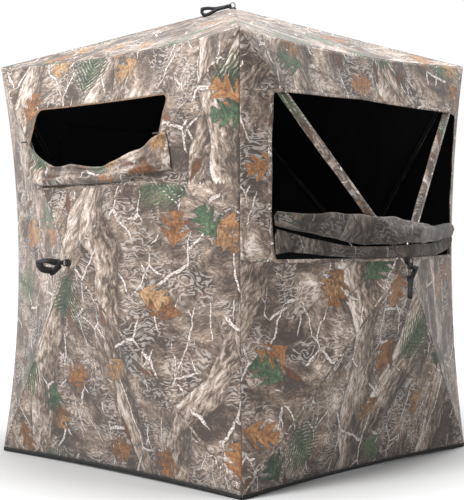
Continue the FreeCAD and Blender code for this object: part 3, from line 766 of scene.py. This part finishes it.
def sleeve(node, body, way, seed):
    """A loose flat sleeve of cloth round a pole of the big window."""
    face = face_of["right"]
    start, along = pole_axis("right", way)
    across = unit(np.array([-along[1], along[0], 0]))
    out = unit(np.cross(along, across))
    distance = np.linspace(*SLEEVE_ENDS, 90)[:, None]
    angle = np.linspace(0, 2 * math.pi, 29)[None, :-1]
    soft = noise(distance * 9, angle * 0.9, seed) * 0.16 + noise(distance * 26, angle * 1.4, seed + 1) * 0.10
    wide = SLEEVE_HALF + 0.0022 * noise(distance * 6, 0 * distance, seed + 2)
    sideways = wide * (1 + 0.5 * soft) * np.cos(angle) + 0.0025 * noise(distance * 4, 0 * distance, seed + 3)
    raised = SLEEVE_DEPTH * (1 + soft) * np.sin(angle) * (1 - 0.35 * np.cos(angle)**4)
    points = start + distance[..., None] * along + sideways[..., None] * across + raised[..., None] * out
    piece, size = cloth_strip(node + "_cloth", face.world(points), [CAMO], (seed * 0.31, 0.7), wrap=True)
    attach(piece, body)
    stand_for(node)


# ---------------------------------------------------------------- pull straps

# Centre lines of the webbing: along from the ring, out of the ring's plane and in it, then which way its
# width lies. The front and back loops fall over to one side, the roof's lies open, and the side ones hang.
FLAT_LOOP = [(0.012, -0.0030, 0.000, 0, 0, -1), (0.035, -0.0040, 0.001, 0, 0.1, -1),
             (0.065, -0.0030, 0.003, 0.1, 0.5, -1), (0.092, -0.0020, 0.002, 0, 1.2, -1),
             (0.111, -0.0010, -0.002, -0.3, 1.6, -0.8), (0.115, 0.0000, -0.010, -1, 0.9, -0.3),
             (0.108, 0.0015, -0.022, -0.9, 0.4, 0.5), (0.090, 0.0030, -0.032, -0.3, 0.1, 1),
             (0.060, 0.0035, -0.034, 0.05, 0, 1), (0.030, 0.0040, -0.024, 0.45, 0, 1),
             (0.012, 0.0030, -0.008, 0.4, 0, 1)]
ROOF_LOOP = [(0.012, -0.0030, 0.001, 0, 0, -1), (0.050, -0.0030, 0.002, 0, 0, -1),
             (0.082, -0.0030, 0.005, 0.1, 0, -1), (0.108, -0.0025, 0.0120, 0.2, 0, -1),
             (0.128, -0.0020, 0.0145, 0, 0, -1),
             (0.143, -0.0010, 0.0095, -0.8, 0, -0.6), (0.148, 0.0000, 0.000, -1, 0, 0),
             (0.143, 0.0010, -0.0095, -0.8, 0, 0.6), (0.128, 0.0020, -0.0145, 0, 0, 1),
             (0.108, 0.0025, -0.0120, 0.2, 0, 1), (0.082, 0.0030, -0.005, 0.1, 0, 1),
             (0.050, 0.0030, -0.002, 0, 0, 1), (0.012, 0.0030, -0.001, 0, 0, 1)]
HANGING_LOOP = [(0.012, -0.0035, 0.000, 0, -0.2, 1), (0.022, -0.013, 0.002, 0, -1.1, 0.8),
                (0.040, -0.017, 0.002, 0, -1.4, 1), (0.056, -0.010, 0.001, 0, -0.6, 1),
                (0.068, -0.0035, -0.002, 0, 0.4, 1), (0.100, -0.0018, 0.001, 0, 0.7, 1),
                (0.143, -0.0016, -0.003, 0, 0.7, 1), (0.1465, 0.0000, -0.004, 0, 0.7, 1),
                (0.143, 0.0016, -0.005, 0, 0.7, 1), (0.100, 0.0022, -0.002, 0, 0.7, 1),
                (0.070, 0.0030, -0.005, 0, 0.7, 1), (0.056, 0.012, -0.002, 0, 0.7, 1),
                (0.038, 0.021, 0.002, 0, 0.7, 1), (0.022, 0.016, 0.002, 0, 0.5, 1),
                (0.012, 0.0035, 0.000, 0, 0.2, 1)]
ROOT_LOOP = [(-0.0040, 0.0), (-0.0025, 0.0038), (0.004, 0.0052), (0.012, 0.0048), (0.020, 0.0044),
             (0.0215, 0.0), (0.020, -0.0044), (0.012, -0.0048), (0.004, -0.0052), (-0.0025, -0.0038)]
# Each strap's loop, the width of its webbing and the angle at which it leaves its ring.
STRAPS = {"roof": (ROOF_LOOP, 0.016, -16.0), "front": (FLAT_LOOP, 0.027, 4.0),
          "right": (HANGING_LOOP, 0.020, -90.0), "back": (FLAT_LOOP, 0.027, 4.0),
          "left": (HANGING_LOOP, 0.020, -90.0)}
ROOT_WIDTH = 0.018
ROOF_STRAP_TURN = 246
RING_RADIUS = 0.012
RING_RISE = 0.016
WEB_THICK = 0.0020


def webbing(middle, wide, width, closed):
    """Rings of points round a flat strap along a line, its width lying as near to wide as it can."""
    if closed:
        ahead = np.roll(middle, -1, 0) - np.roll(middle, 1, 0)
    else:
        ahead = np.gradient(middle, axis=0)
    ahead = unit(ahead)
    wide = unit(wide - (wide * ahead).sum(1, keepdims=True) * ahead)
    thick = np.cross(ahead, wide)
    half, deep = width / 2, WEB_THICK / 2
    section = [(-half, 0), (-half * 0.95, deep), (half * 0.95, deep), (half, 0), (half * 0.95, -deep),
               (-half * 0.95, -deep)]
    return np.stack([middle + wide * a + thick * b for a, b in section], 1)


def pull_strap(name):
    """A loop of webbing sewn to a small loop that goes through the eye bolt's ring."""
    face = face_of[name]
    line, width, aim = STRAPS[name]
    aim = math.radians(aim)
    if name == "roof":
        turn = math.radians(ROOF_STRAP_TURN)
        level, rise = np.array([math.cos(turn), math.sin(turn), 0]), np.array([0, 0, 1.0])
    else:
        level, rise = np.array([0, 0, 1.0]), np.array([0, 1.0, 0])
    along = level * math.cos(aim) + rise * math.sin(aim)
    wire = rise * math.cos(aim) - level * math.sin(aim)
    axes = np.stack([along, np.cross(wire, along), wire])
    origin = np.array([0, 0, face.rise + RING_RISE]) + along * RING_RADIUS
    main = curve(line, 140)
    root = curve([(*point, 0) for point in ROOT_LOOP], 60, closed=True)
    flat_ways = np.tile((0.0, 0, 1), (len(root), 1))
    parts = [loft(face.world(webbing(main[:, :3], main[:, 3:], width, False) @ axes + origin)),
             loft(face.world(webbing(root, flat_ways, ROOT_WIDTH, True) @ axes + origin), closed=True)]
    points, faces, places = joined(parts)
    piece = make(name + "_pull_strap_webbing", points, faces, [WEBBING], maps={"print": places})
    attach(piece, name + "_pull_strap")
    stand_for(name + "_pull_strap")


# ---------------------------------------------------------------- materials

def feed(socket, value):
    """Links a signal to a node's input, or sets the input to a plain value."""
    if isinstance(value, Signal):
        socket.id_data.links.new(value.socket, socket)
    elif value is not None:
        socket.default_value = value


def added(tree, kind, inputs, **settings):
    """A new node, with its inputs given by name or number."""
    node = tree.nodes.new("ShaderNode" + kind)
    for key, value in settings.items():
        setattr(node, key, value)
    for key, value in inputs.items():
        feed(node.inputs[key], value)
    return node


class Signal:
    """What a material's node gives. Sums, products and shapes of it add the nodes that they need."""

    def __init__(self, socket):
        self.socket = socket

    def through(self, kind, inputs, output=0, **settings):
        return Signal(added(self.socket.id_data, kind, inputs, **settings).outputs[output])

    def math(self, operation, other=None):
        return self.through("Math", {0: self, 1: other}, operation=operation)

    def __add__(self, other):
        return self.math("ADD", other)

    def __sub__(self, other):
        return self.math("SUBTRACT", other)

    def __rsub__(self, other):
        return self * -1.0 + other

    def __mul__(self, other):
        return self.math("MULTIPLY", other)

    def __truediv__(self, other):
        return self.math("DIVIDE", other)

    def __abs__(self):
        return self.math("ABSOLUTE")

    def split(self):
        node = added(self.socket.id_data, "SeparateXYZ", {0: self})
        return Signal(node.outputs[0]), Signal(node.outputs[1])

    def mapped(self, scale=(1, 1, 1), turn=0.0, shift=(0, 0, 0)):
        return self.through("Mapping", {0: self, 1: shift, 2: (0, 0, turn), 3: scale})

    def noise(self, scale, detail=2.0, roughness=0.5, dimensions="2D"):
        inputs = {"Vector": self, "Scale": scale, "Detail": detail, "Roughness": roughness}
        return self.through("TexNoise", inputs, "Fac", noise_dimensions=dimensions)

    def swirled(self, scale, amount, detail=3.0):
        """The same places pushed about by soft noise."""
        inputs = {"Vector": self, "Scale": scale, "Detail": detail}
        bend = self.through("TexNoise", inputs, "Color", noise_dimensions="2D")
        return self.through("VectorMath", {0: bend, 1: (amount,) * 3, 2: self}, operation="MULTIPLY_ADD")

    def step(self, low, high):
        """0 below low, 1 above high and smooth between; it falls when low is more than high."""
        return self.through("MapRange", {0: self, 1: low, 2: high}, interpolation_type="SMOOTHSTEP")

    def ramp(self, *stops):
        node = added(self.socket.id_data, "ValToRGB", {0: self})
        elements = node.color_ramp.elements
        while len(elements) < len(stops):
            elements.new(1.0)
        for element, (place, colour) in zip(elements, stops):
            element.position = place
            element.color = (*colour, 1)
        return Signal(node.outputs[0])

    def under(self, share, colour, blend="MIX"):
        """This colour, with another laid over it as far as share says."""
        if isinstance(colour, tuple):
            colour = (*colour, 1)
        return self.through("Mix", {0: share, 6: self, 7: colour}, 2, data_type="RGBA", blend_type=blend)


def new_material(name, printed=True):
    """An empty material, and the places that its pattern follows: on the printed cloth, or in space."""
    material = bpy.data.materials.new(name)
    material.use_nodes = True
    tree = material.node_tree
    tree.nodes.clear()
    if printed:
        return material, Signal(added(tree, "UVMap", {}, uv_map="print").outputs[0])
    return material, Signal(added(tree, "TexCoord", {}).outputs["Object"])


def finished(material, colour, roughness, height=None, strength=0.3, distance=0.001, **sockets):
    """The material with its shader, its bump and its output."""
    tree = material.node_tree
    inputs = {key.replace("_", " "): value for key, value in sockets.items()}
    inputs.update({"Base Color": colour, "Roughness": roughness})
    if height is not None:
        bump = added(tree, "Bump", {"Strength": strength, "Distance": distance, "Height": height})
        inputs["Normal"] = Signal(bump.outputs[0])
    shader = added(tree, "BsdfPrincipled", inputs)
    added(tree, "OutputMaterial", {0: Signal(shader.outputs[0])})
    return material


def scattered(place, pitch, shift):
    """Cells of about pitch metres: each point's place in its cell, turned at random, and random numbers."""
    moved = place.mapped(shift=(*shift, 0))
    tree = place.socket.id_data
    inputs = {"Vector": moved, "Scale": 1 / pitch, "Randomness": 0.72}
    cells = added(tree, "TexVoronoi", inputs, voronoi_dimensions="2D", feature="F1")
    middle = Signal(cells.outputs["Position"])
    offset = moved.through("VectorMath", {0: moved, 1: middle}, operation="SUBTRACT")
    parts = added(tree, "SeparateColor", {0: Signal(cells.outputs["Color"])})
    turn, chance, tone = (Signal(output) for output in parts.outputs)
    inputs = {"Vector": offset, "Angle": turn * (2 * math.pi)}
    x, y = offset.through("VectorRotate", inputs, rotation_type="Z_AXIS").split()
    return x, y, chance, tone


def lottery(number):
    """A random number from 0 to 1 for each whole number."""
    return number.through("TexWhiteNoise", {"W": number}, noise_dimensions="1D")


def leaf_layer(place, base, pitch, shift, length, share, lobes, tones, slim=1.0, bites=0.34):
    """Leaves of one kind scattered over the print, each with a dark outline, veins and its own tone."""
    light, middle, dark = tones
    x, y, chance, own_tone = scattered(place.swirled(26.0, 0.020), pitch, shift)
    t = x / length
    side = abs(y / length)
    body = (1.0 - (t * 2.0).math("POWER", 2.0)).math("MAXIMUM", 0.0).math("SQRT") * (t * 0.45 + 0.85)
    wave = ((side * -0.85 + t) * (2 * math.pi * lobes)).math("COSINE")
    bite = wave * bites + 0.60 if lobes else 0.5
    edge = body * bite * (0.52 * slim) - side
    there = chance.math("LESS_THAN", share)
    mottle = place.mapped(scale=(95, 60, 1)).noise(1.0, 4.0, 0.75)
    shade = mottle * 1.35 + (place.noise(17.0) * 0.7 - 0.78)
    colour = (own_tone * 0.30 + shade).ramp((0.12, dark), (0.45, middle), (0.85, light))
    colour = colour.under(edge.step(0.05, 0.0) * 0.8, dark)
    veins = side.step(0.018, 0.008).math("MAXIMUM", wave.step(0.94, 0.99))
    colour = colour.under(veins * 0.50, dark)
    shaded = base.under(edge.step(-0.07, 0.01) * there * 0.60, (0.045, 0.038, 0.036))
    return shaded.under(edge.step(0.0, 0.02) * there, colour)


def trunk_layer(place, base, turn, pitch, shift, width, share):
    """Barked trunks standing side by side, bent a little, each with a lit side and a dark side."""
    turned = place.mapped(turn=turn, shift=(*shift, 0))
    slot = (turned.split()[0] + turned.noise(1.3) * 0.34) / pitch
    index = slot.math("FLOOR")
    local = (slot - index - 0.5) * pitch
    ragged = turned.mapped(scale=(14, 9, 1)).noise(1.0, 3.0, 0.6)
    half = lottery(index) * (0.45 * width) + 0.30 * width + (ragged * 0.022 - 0.011)
    edge = half - abs(local)
    there = lottery(index + 37.3).math("LESS_THAN", share)
    bark = turned.swirled(16.0, 0.035).mapped(scale=(70, 22, 1)).noise(1.0, 4.0, 0.72)
    ridge = abs((bark * 34.0).math("SINE"))
    broad = turned.mapped(scale=(11, 4, 1)).noise(1.0)
    tone = broad * 0.60 + (bark * 1.25 - 0.44) + local / width * -0.30
    colour = tone.ramp((0.26, (0.055, 0.043, 0.036)), (0.40, (0.125, 0.096, 0.076)),
                       (0.52, (0.230, 0.182, 0.145)), (0.66, (0.390, 0.325, 0.275)),
                       (0.84, (0.60, 0.56, 0.52)))
    colour = colour.under(ridge.step(0.22, 0.05) * 0.60, (0.05, 0.040, 0.038))
    shaded = base.under(edge.step(-0.018, 0.002) * there * 0.50, (0.040, 0.033, 0.031))
    return shaded.under(edge.step(0.0, 0.006) * there, colour)


def branch_layer(place, base, turn, scale, width, share, seed):
    """Thin pale branches that fork, cross and break off."""
    bent = place.mapped(shift=(seed, seed * 0.7, 0)).swirled(7.0, 0.065, 4.0)
    turned = bent.mapped(turn=turn, scale=(*scale, 1), shift=(seed, 1.7 * seed, 0))
    distance = turned.through("TexVoronoi", {"Vector": turned, "Scale": 1.0}, "Distance",
                              voronoi_dimensions="2D", feature="DISTANCE_TO_EDGE")
    gate = place.mapped(shift=(3 * seed, seed, 0)).noise(6.0).step(1 - share, 1 - share + 0.10)
    narrow = gate * width
    colour = place.noise(130.0, 3.0, 0.7).ramp((0.32, (0.16, 0.125, 0.10)), (0.50, (0.43, 0.385, 0.35)),
                                               (0.68, (0.78, 0.76, 0.75)))
    shadow = (narrow * 2.0 - distance).step(0.0, width)
    shaded = base.under(shadow * 0.55, (0.045, 0.037, 0.038))
    return shaded.under((narrow - distance).step(0.0, 0.4 * width), colour)


def ground_layer(place):
    """Leaf litter and bark in the background: streaks, wavy dark outlines and soft pale patches."""
    bent = place.swirled(6.0, 0.11, 4.0)
    level = bent.mapped(scale=(8, 27, 1)).noise(1.0, 4.0, 0.66)
    upright = bent.mapped(scale=(30, 9, 1)).noise(1.0, 4.0, 0.66)
    flow = place.noise(3.0).step(0.50, 0.56) * (upright - level) + level
    grain = bent.mapped(scale=(70, 120, 1)).noise(1.0, 3.0, 0.7)
    patch = place.noise(4.5, 3.0, 0.6)
    tone = grain * 0.62 + (flow * 0.75 - 0.30) + (patch * 0.85 - 0.44)
    colour = tone.ramp((0.22, (0.055, 0.042, 0.036)), (0.36, (0.115, 0.086, 0.068)),
                       (0.48, (0.200, 0.153, 0.120)), (0.58, (0.310, 0.248, 0.200)),
                       (0.68, (0.470, 0.405, 0.345)), (0.84, (0.74, 0.71, 0.68)))
    wave = (bent.mapped(scale=(9, 22, 1)).noise(1.0, 2.5, 0.6) * 40.0).math("SINE")
    calm = place.noise(5.5).step(0.56, 0.46)
    colour = colour.under(wave.step(0.10, 0.80) * calm * 0.34, (0.66, 0.62, 0.58))
    return colour.under(abs(wave).step(0.40, 0.08) * calm * 0.55, (0.055, 0.043, 0.045))


# Light, middle and dark tone of each kind of leaf.
ORANGE = ((0.36, 0.205, 0.100), (0.235, 0.112, 0.048), (0.085, 0.040, 0.022))
TAN = ((0.44, 0.31, 0.18), (0.27, 0.162, 0.082), (0.095, 0.052, 0.03))
RUST = ((0.27, 0.135, 0.072), (0.16, 0.072, 0.036), (0.062, 0.030, 0.02))
GREEN = ((0.170, 0.205, 0.125), (0.062, 0.100, 0.055), (0.024, 0.038, 0.026))


def woodland(place):
    """The whole print's colour."""
    colour = ground_layer(place)
    colour = branch_layer(place, colour, 0.5, (9.5, 4.6), 0.030, 0.52, 2.3)
    colour = trunk_layer(place, colour, 0.46, 0.83, (0.31, 0.0), 0.12, 0.55)
    colour = trunk_layer(place, colour, -0.10, 0.61, (0.0, 0.0), 0.10, 0.60)
    colour = branch_layer(place, colour, -0.7, (4.6, 2.4), 0.018, 0.56, 5.9)
    colour = leaf_layer(place, colour, 0.41, (2.2, 6.3), 0.190, 0.42, 10, GREEN, 1.15, 0.60)
    colour = leaf_layer(place, colour, 0.30, (0.9, 0.2), 0.150, 0.36, 3.2, ORANGE)
    colour = leaf_layer(place, colour, 0.39, (3.1, 1.4), 0.150, 0.26, 3.2, GREEN)
    colour = leaf_layer(place, colour, 0.27, (5.3, 2.6), 0.130, 0.30, 2.7, TAN)
    return leaf_layer(place, colour, 0.23, (7.7, 3.9), 0.100, 0.26, 0, RUST, 0.55)


THREAD_PITCH = 0.0011
NET_PITCH = 0.0022
STITCH_PITCH = 0.005


def threads(place, pitch):
    """Waves across and along, as wide as the threads."""
    x, y = place.mapped(scale=(2 * math.pi / pitch,) * 3).split()
    return x.math("SINE"), y.math("SINE")


def camo_material(name, light):
    """Printed plain weave with a soft crumple. light says how bright the print is; at 0.25 it darkens the
    print as painted shade.
    """
    material, place = new_material(name)
    colour = woodland(place).under(1.0, (light, light * 0.97, light * 0.96), "MULTIPLY")
    across, along = threads(place, THREAD_PITCH)
    height = across * along * 0.10 + place.noise(38.0, 3.0, 0.6)
    return finished(material, colour, 0.82, height, 0.35, 0.0015, Sheen_Weight=0.15, Specular_IOR_Level=0.30)


def lining_material():
    """The cloth's black coated inside."""
    material, place = new_material("black_lining")
    across, along = threads(place, THREAD_PITCH)
    tone = place.noise(9.0, 3.0, 0.6)
    colour = tone.ramp((0.3, (0.0035, 0.0035, 0.0038)), (0.7, (0.0075, 0.0072, 0.0075)))
    return finished(material, colour, 0.72, across * along, 0.25, 0.0006, Specular_IOR_Level=0.25)


def tape_material(name, dark, light, pitch=0.0016, roughness=0.75):
    """Woven tape: fine ribs across it, rows of stitches and a little wear."""
    material, place = new_material(name)
    along = place.split()[0]
    ribs = (along * (2 * math.pi / pitch)).math("SINE")
    dash = (along * (2 * math.pi / STITCH_PITCH)).math("SINE").step(-0.2, 0.1)
    tone = place.mapped(scale=(40, 300, 1)).noise(1.0, 3.0, 0.65)
    wear = place.noise(25.0, 4.0, 0.6).step(0.55, 0.8)
    worn = tuple(min(1.0, 2.2 * c + 0.02) for c in light)
    colour = tone.ramp((0.30, dark), (0.75, light)).under(wear * 0.25, worn)
    height = dash * 0.3 + ribs * 0.4
    return finished(material, colour, roughness, height, 0.35, 0.0006, Specular_IOR_Level=0.3)


def screen_material():
    """Knitted mesh gathered in folds: the same print, darkened by the black net."""
    material, place = new_material("screen_mesh")
    across, along = threads(place, NET_PITCH)
    net = across.math("MAXIMUM", along)
    ink = woodland(place).under(0.50, (0.012, 0.010, 0.010))
    colour = ink.under(net.step(0.8, 0.2), (0.008, 0.007, 0.007))
    return finished(material, colour, 0.80, net, 0.5, 0.0005, Specular_IOR_Level=0.25)


def moulded_material(name, tone, roughness, metallic=0.0, grain=420.0):
    """Moulded plastic or plated metal with fine grain, uneven gloss and faint scratches."""
    material, place = new_material(name, printed=False)
    fine = place.noise(grain, 4.0, 0.6, "3D")
    broad = place.noise(28.0, 3.0, 0.6, "3D")
    scratch = place.mapped(scale=(30, 30, 700)).noise(1.0, 2.0, 0.6, "3D")
    dark = tuple(c * 0.72 for c in tone)
    light = tuple(min(1, c * 1.25) for c in tone)
    colour = (fine * 0.4 + broad * 0.6).ramp((0.30, dark), (0.72, light))
    gloss = broad * 0.25 + (roughness - 0.12)
    return finished(material, colour, gloss, scratch * 0.4 + fine, 0.12, 0.0005, Metallic=metallic)


def rod_material():
    """Fibreglass rod: dark resin with fine pale fibres along it."""
    material, place = new_material("pole_fibreglass", printed=False)
    fibre = place.noise(900.0, 2.0, 0.6, "3D")
    cloud = place.noise(60.0, 3.0, 0.6, "3D")
    colour = (fibre * 0.6 + cloud * 0.4).ramp((0.35, (0.010, 0.010, 0.011)), (0.60, (0.030, 0.030, 0.030)),
                                              (0.80, (0.085, 0.083, 0.08)))
    return finished(material, colour, 0.32, fibre, 0.08, 0.0003)


CAMO = camo_material("woodland_cloth", 0.78)
# The right cover's band: the same print darkened to a quarter, partly painted shade and partly the band's
# darker cloth.
SHADED_CAMO = camo_material("woodland_cloth_painted_shade", 0.25)
LINING = lining_material()
TAPE_CLOTH = tape_material("hem_tape", (0.006, 0.006, 0.0065), (0.018, 0.017, 0.017))
EDGE_TAPE = tape_material("window_tape", (0.060, 0.038, 0.026), (0.19, 0.115, 0.075))
ZIP_TAPE = tape_material("zip_tape", (0.006, 0.006, 0.006), (0.02, 0.02, 0.02), 0.0012)
WEBBING = tape_material("strap_webbing", (0.0045, 0.0045, 0.005), (0.015, 0.015, 0.016), 0.0022, 0.6)
SCREEN = screen_material()
HUB_PLASTIC = moulded_material("hub_plastic", (0.012, 0.012, 0.013), 0.45)
STEEL = moulded_material("zinc_steel", (0.46, 0.46, 0.45), 0.36, 1.0, 240.0)
BLACK_STEEL = moulded_material("black_steel", (0.014, 0.014, 0.015), 0.38, 0.6)
BRASS = moulded_material("grommet_brass", (0.30, 0.28, 0.24), 0.34, 1.0)
RUBBER = moulded_material("cap_rubber", (0.010, 0.010, 0.010), 0.7)
TOGGLE = moulded_material("toggle_plastic", (0.016, 0.015, 0.015), 0.4)
ROD = rod_material()
PATCH = moulded_material("patch_cloth", (0.012, 0.012, 0.012), 0.8, grain=900.0)


# ---------------------------------------------------------------- stage

CAMERA_TURN = (43.735, -0.768, -0.292)
CAMERA_PLACE = (3.801, -3.986, 1.003)
CAMERA_LENS = 84.77
FLOOR_REACH = 9
FLOOR_LEVEL = -0.002


def place_camera():
    """Eye height beside the front right corner, level, with a long lens."""
    yaw, pitch, roll = (math.radians(a) for a in CAMERA_TURN)
    look = Vector((-math.sin(yaw) * math.cos(pitch), math.cos(yaw) * math.cos(pitch), math.sin(pitch)))
    right = Vector((math.cos(yaw), math.sin(yaw), 0))
    up = right.cross(look)
    turned = right * math.cos(roll) + up * math.sin(roll)
    upright = up * math.cos(roll) - right * math.sin(roll)
    camera = bpy.data.objects.new("camera", bpy.data.cameras.new("camera"))
    camera.data.lens = CAMERA_LENS
    camera.data.clip_end = 60
    camera.matrix_world = Matrix((turned, upright, -look)).transposed().to_4x4()
    camera.location = CAMERA_PLACE
    bpy.context.scene.collection.objects.link(camera)
    bpy.context.scene.camera = camera


def area_light(name, place, aim, size, power):
    light = bpy.data.objects.new(name, bpy.data.lights.new(name, "AREA"))
    light.data.shape = "DISK"
    light.data.size = size
    light.data.energy = power
    light.location = place
    light.rotation_euler = (Vector(aim) - Vector(place)).to_track_quat("-Z", "Y").to_euler()
    bpy.context.scene.collection.objects.link(light)


def stage():
    world = bpy.data.worlds.new("studio")
    bpy.context.scene.world = world
    world.use_nodes = True
    world.node_tree.nodes["Background"].inputs[0].default_value = (1, 1, 1, 1)
    world.node_tree.nodes["Background"].inputs[1].default_value = 1.0
    bpy.context.scene.view_settings.view_transform = "Standard"
    area_light("key", (0.1, -5.7, 4.4), (0, 0, 1.3), 3.0, 600)
    area_light("top", (0.5, 0.5, 6.5), (0, 0, 1.8), 4.0, 470)
    corners = [(x * FLOOR_REACH, y * FLOOR_REACH, FLOOR_LEVEL) for x, y in CORNERS]
    floor = make("floor", corners, [(2, 3, 0, 1)], [floor_material()])


def floor_material():
    """Matt pale floor with painted shade: darker round where the blind stands, which also dims the light it
    bounces onto the walls.
    """
    material, place = new_material("pale_floor", printed=False)
    distance = place.through("VectorMath", {0: place}, "Value", operation="LENGTH")
    # Painted shade: dark albedo near the middle, pale from about 5 m out.
    colour = (distance / 10.0).ramp((0.10, (0.40,) * 3), (0.50, (0.95,) * 3))
    return finished(material, colour, 0.9)


# ---------------------------------------------------------------- hardware

def dress(node, *materials):
    """Gives a CAD node's object its materials."""
    mesh = bpy.data.objects[node].data
    mesh.materials.clear()
    for material in materials:
        mesh.materials.append(material)
    return mesh


def dress_pole(name, node, corner):
    """Steel ferrule next to the hub, fibreglass rod, and a rubber cap at the far end."""
    mesh = dress(node, ROD, STEEL, RUBBER)
    spot = bpy.data.objects[node].matrix_world
    centres = np.array([spot @ p.center for p in mesh.polygons])
    face = face_of[name]
    start, along = pole_axis(name, corner)
    local = (centres - face.origin) @ face.axes
    run = (local - start) @ along
    across = np.linalg.norm((local - start) - run[:, None] * along, axis=1)
    steel = (run < FERRULE_END) & ((across > ROD_RADIUS) | (run < TONGUE_END))
    kinds = np.where(run > run.max() - CAP_LENGTH, 2, np.where(steel, 1, 0))
    mesh.polygons.foreach_set("material_index", kinds.astype(np.int32))


def dress_nodes():
    for name in FACES:
        dress(name + "_hub", HUB_PLASTIC)
        dress(name + "_hub_fasteners", STEEL)
        dress(name + "_eye_bolt", BLACK_STEEL)
        for corner, way in zip(corner_names(name), CORNERS):
            dress_pole(name, name + "_pole_" + corner, way)
    dress("corner_patches", PATCH)
    dress("stake_grommets", BRASS)
    dress("front_window_toggles", TOGGLE)
    dress("door_zip_slider", STEEL)


# ---------------------------------------------------------------- build

def build():
    place_camera()
    stage()
    outlines = {name: rounded(*window) for name, window in WINDOWS.items()}
    outlines["back"] = door_outline()
    for name in FACES:
        node = "roof_panel" if name == "roof" else name + "_wall"
        cloth_face(name, node, [outlines[name]] if name in outlines else [])
        seam_strips(name)
        pull_strap(name)
    base_hem()
    window_binding("front", "front_window_binding", 0.006, EDGE_TAPE)
    window_binding("right", "right_window_binding", 0.012, CAMO, rolled=True)
    front_cover()
    right_cover()
    right_mesh()
    left_cover()
    door()
    sleeve("right_window_sleeve_back", "right_pole_upper_right", (1, 1), 3)
    sleeve("right_window_sleeve_front", "right_pole_upper_left", (-1, 1), 7)
    dress_nodes()


build()
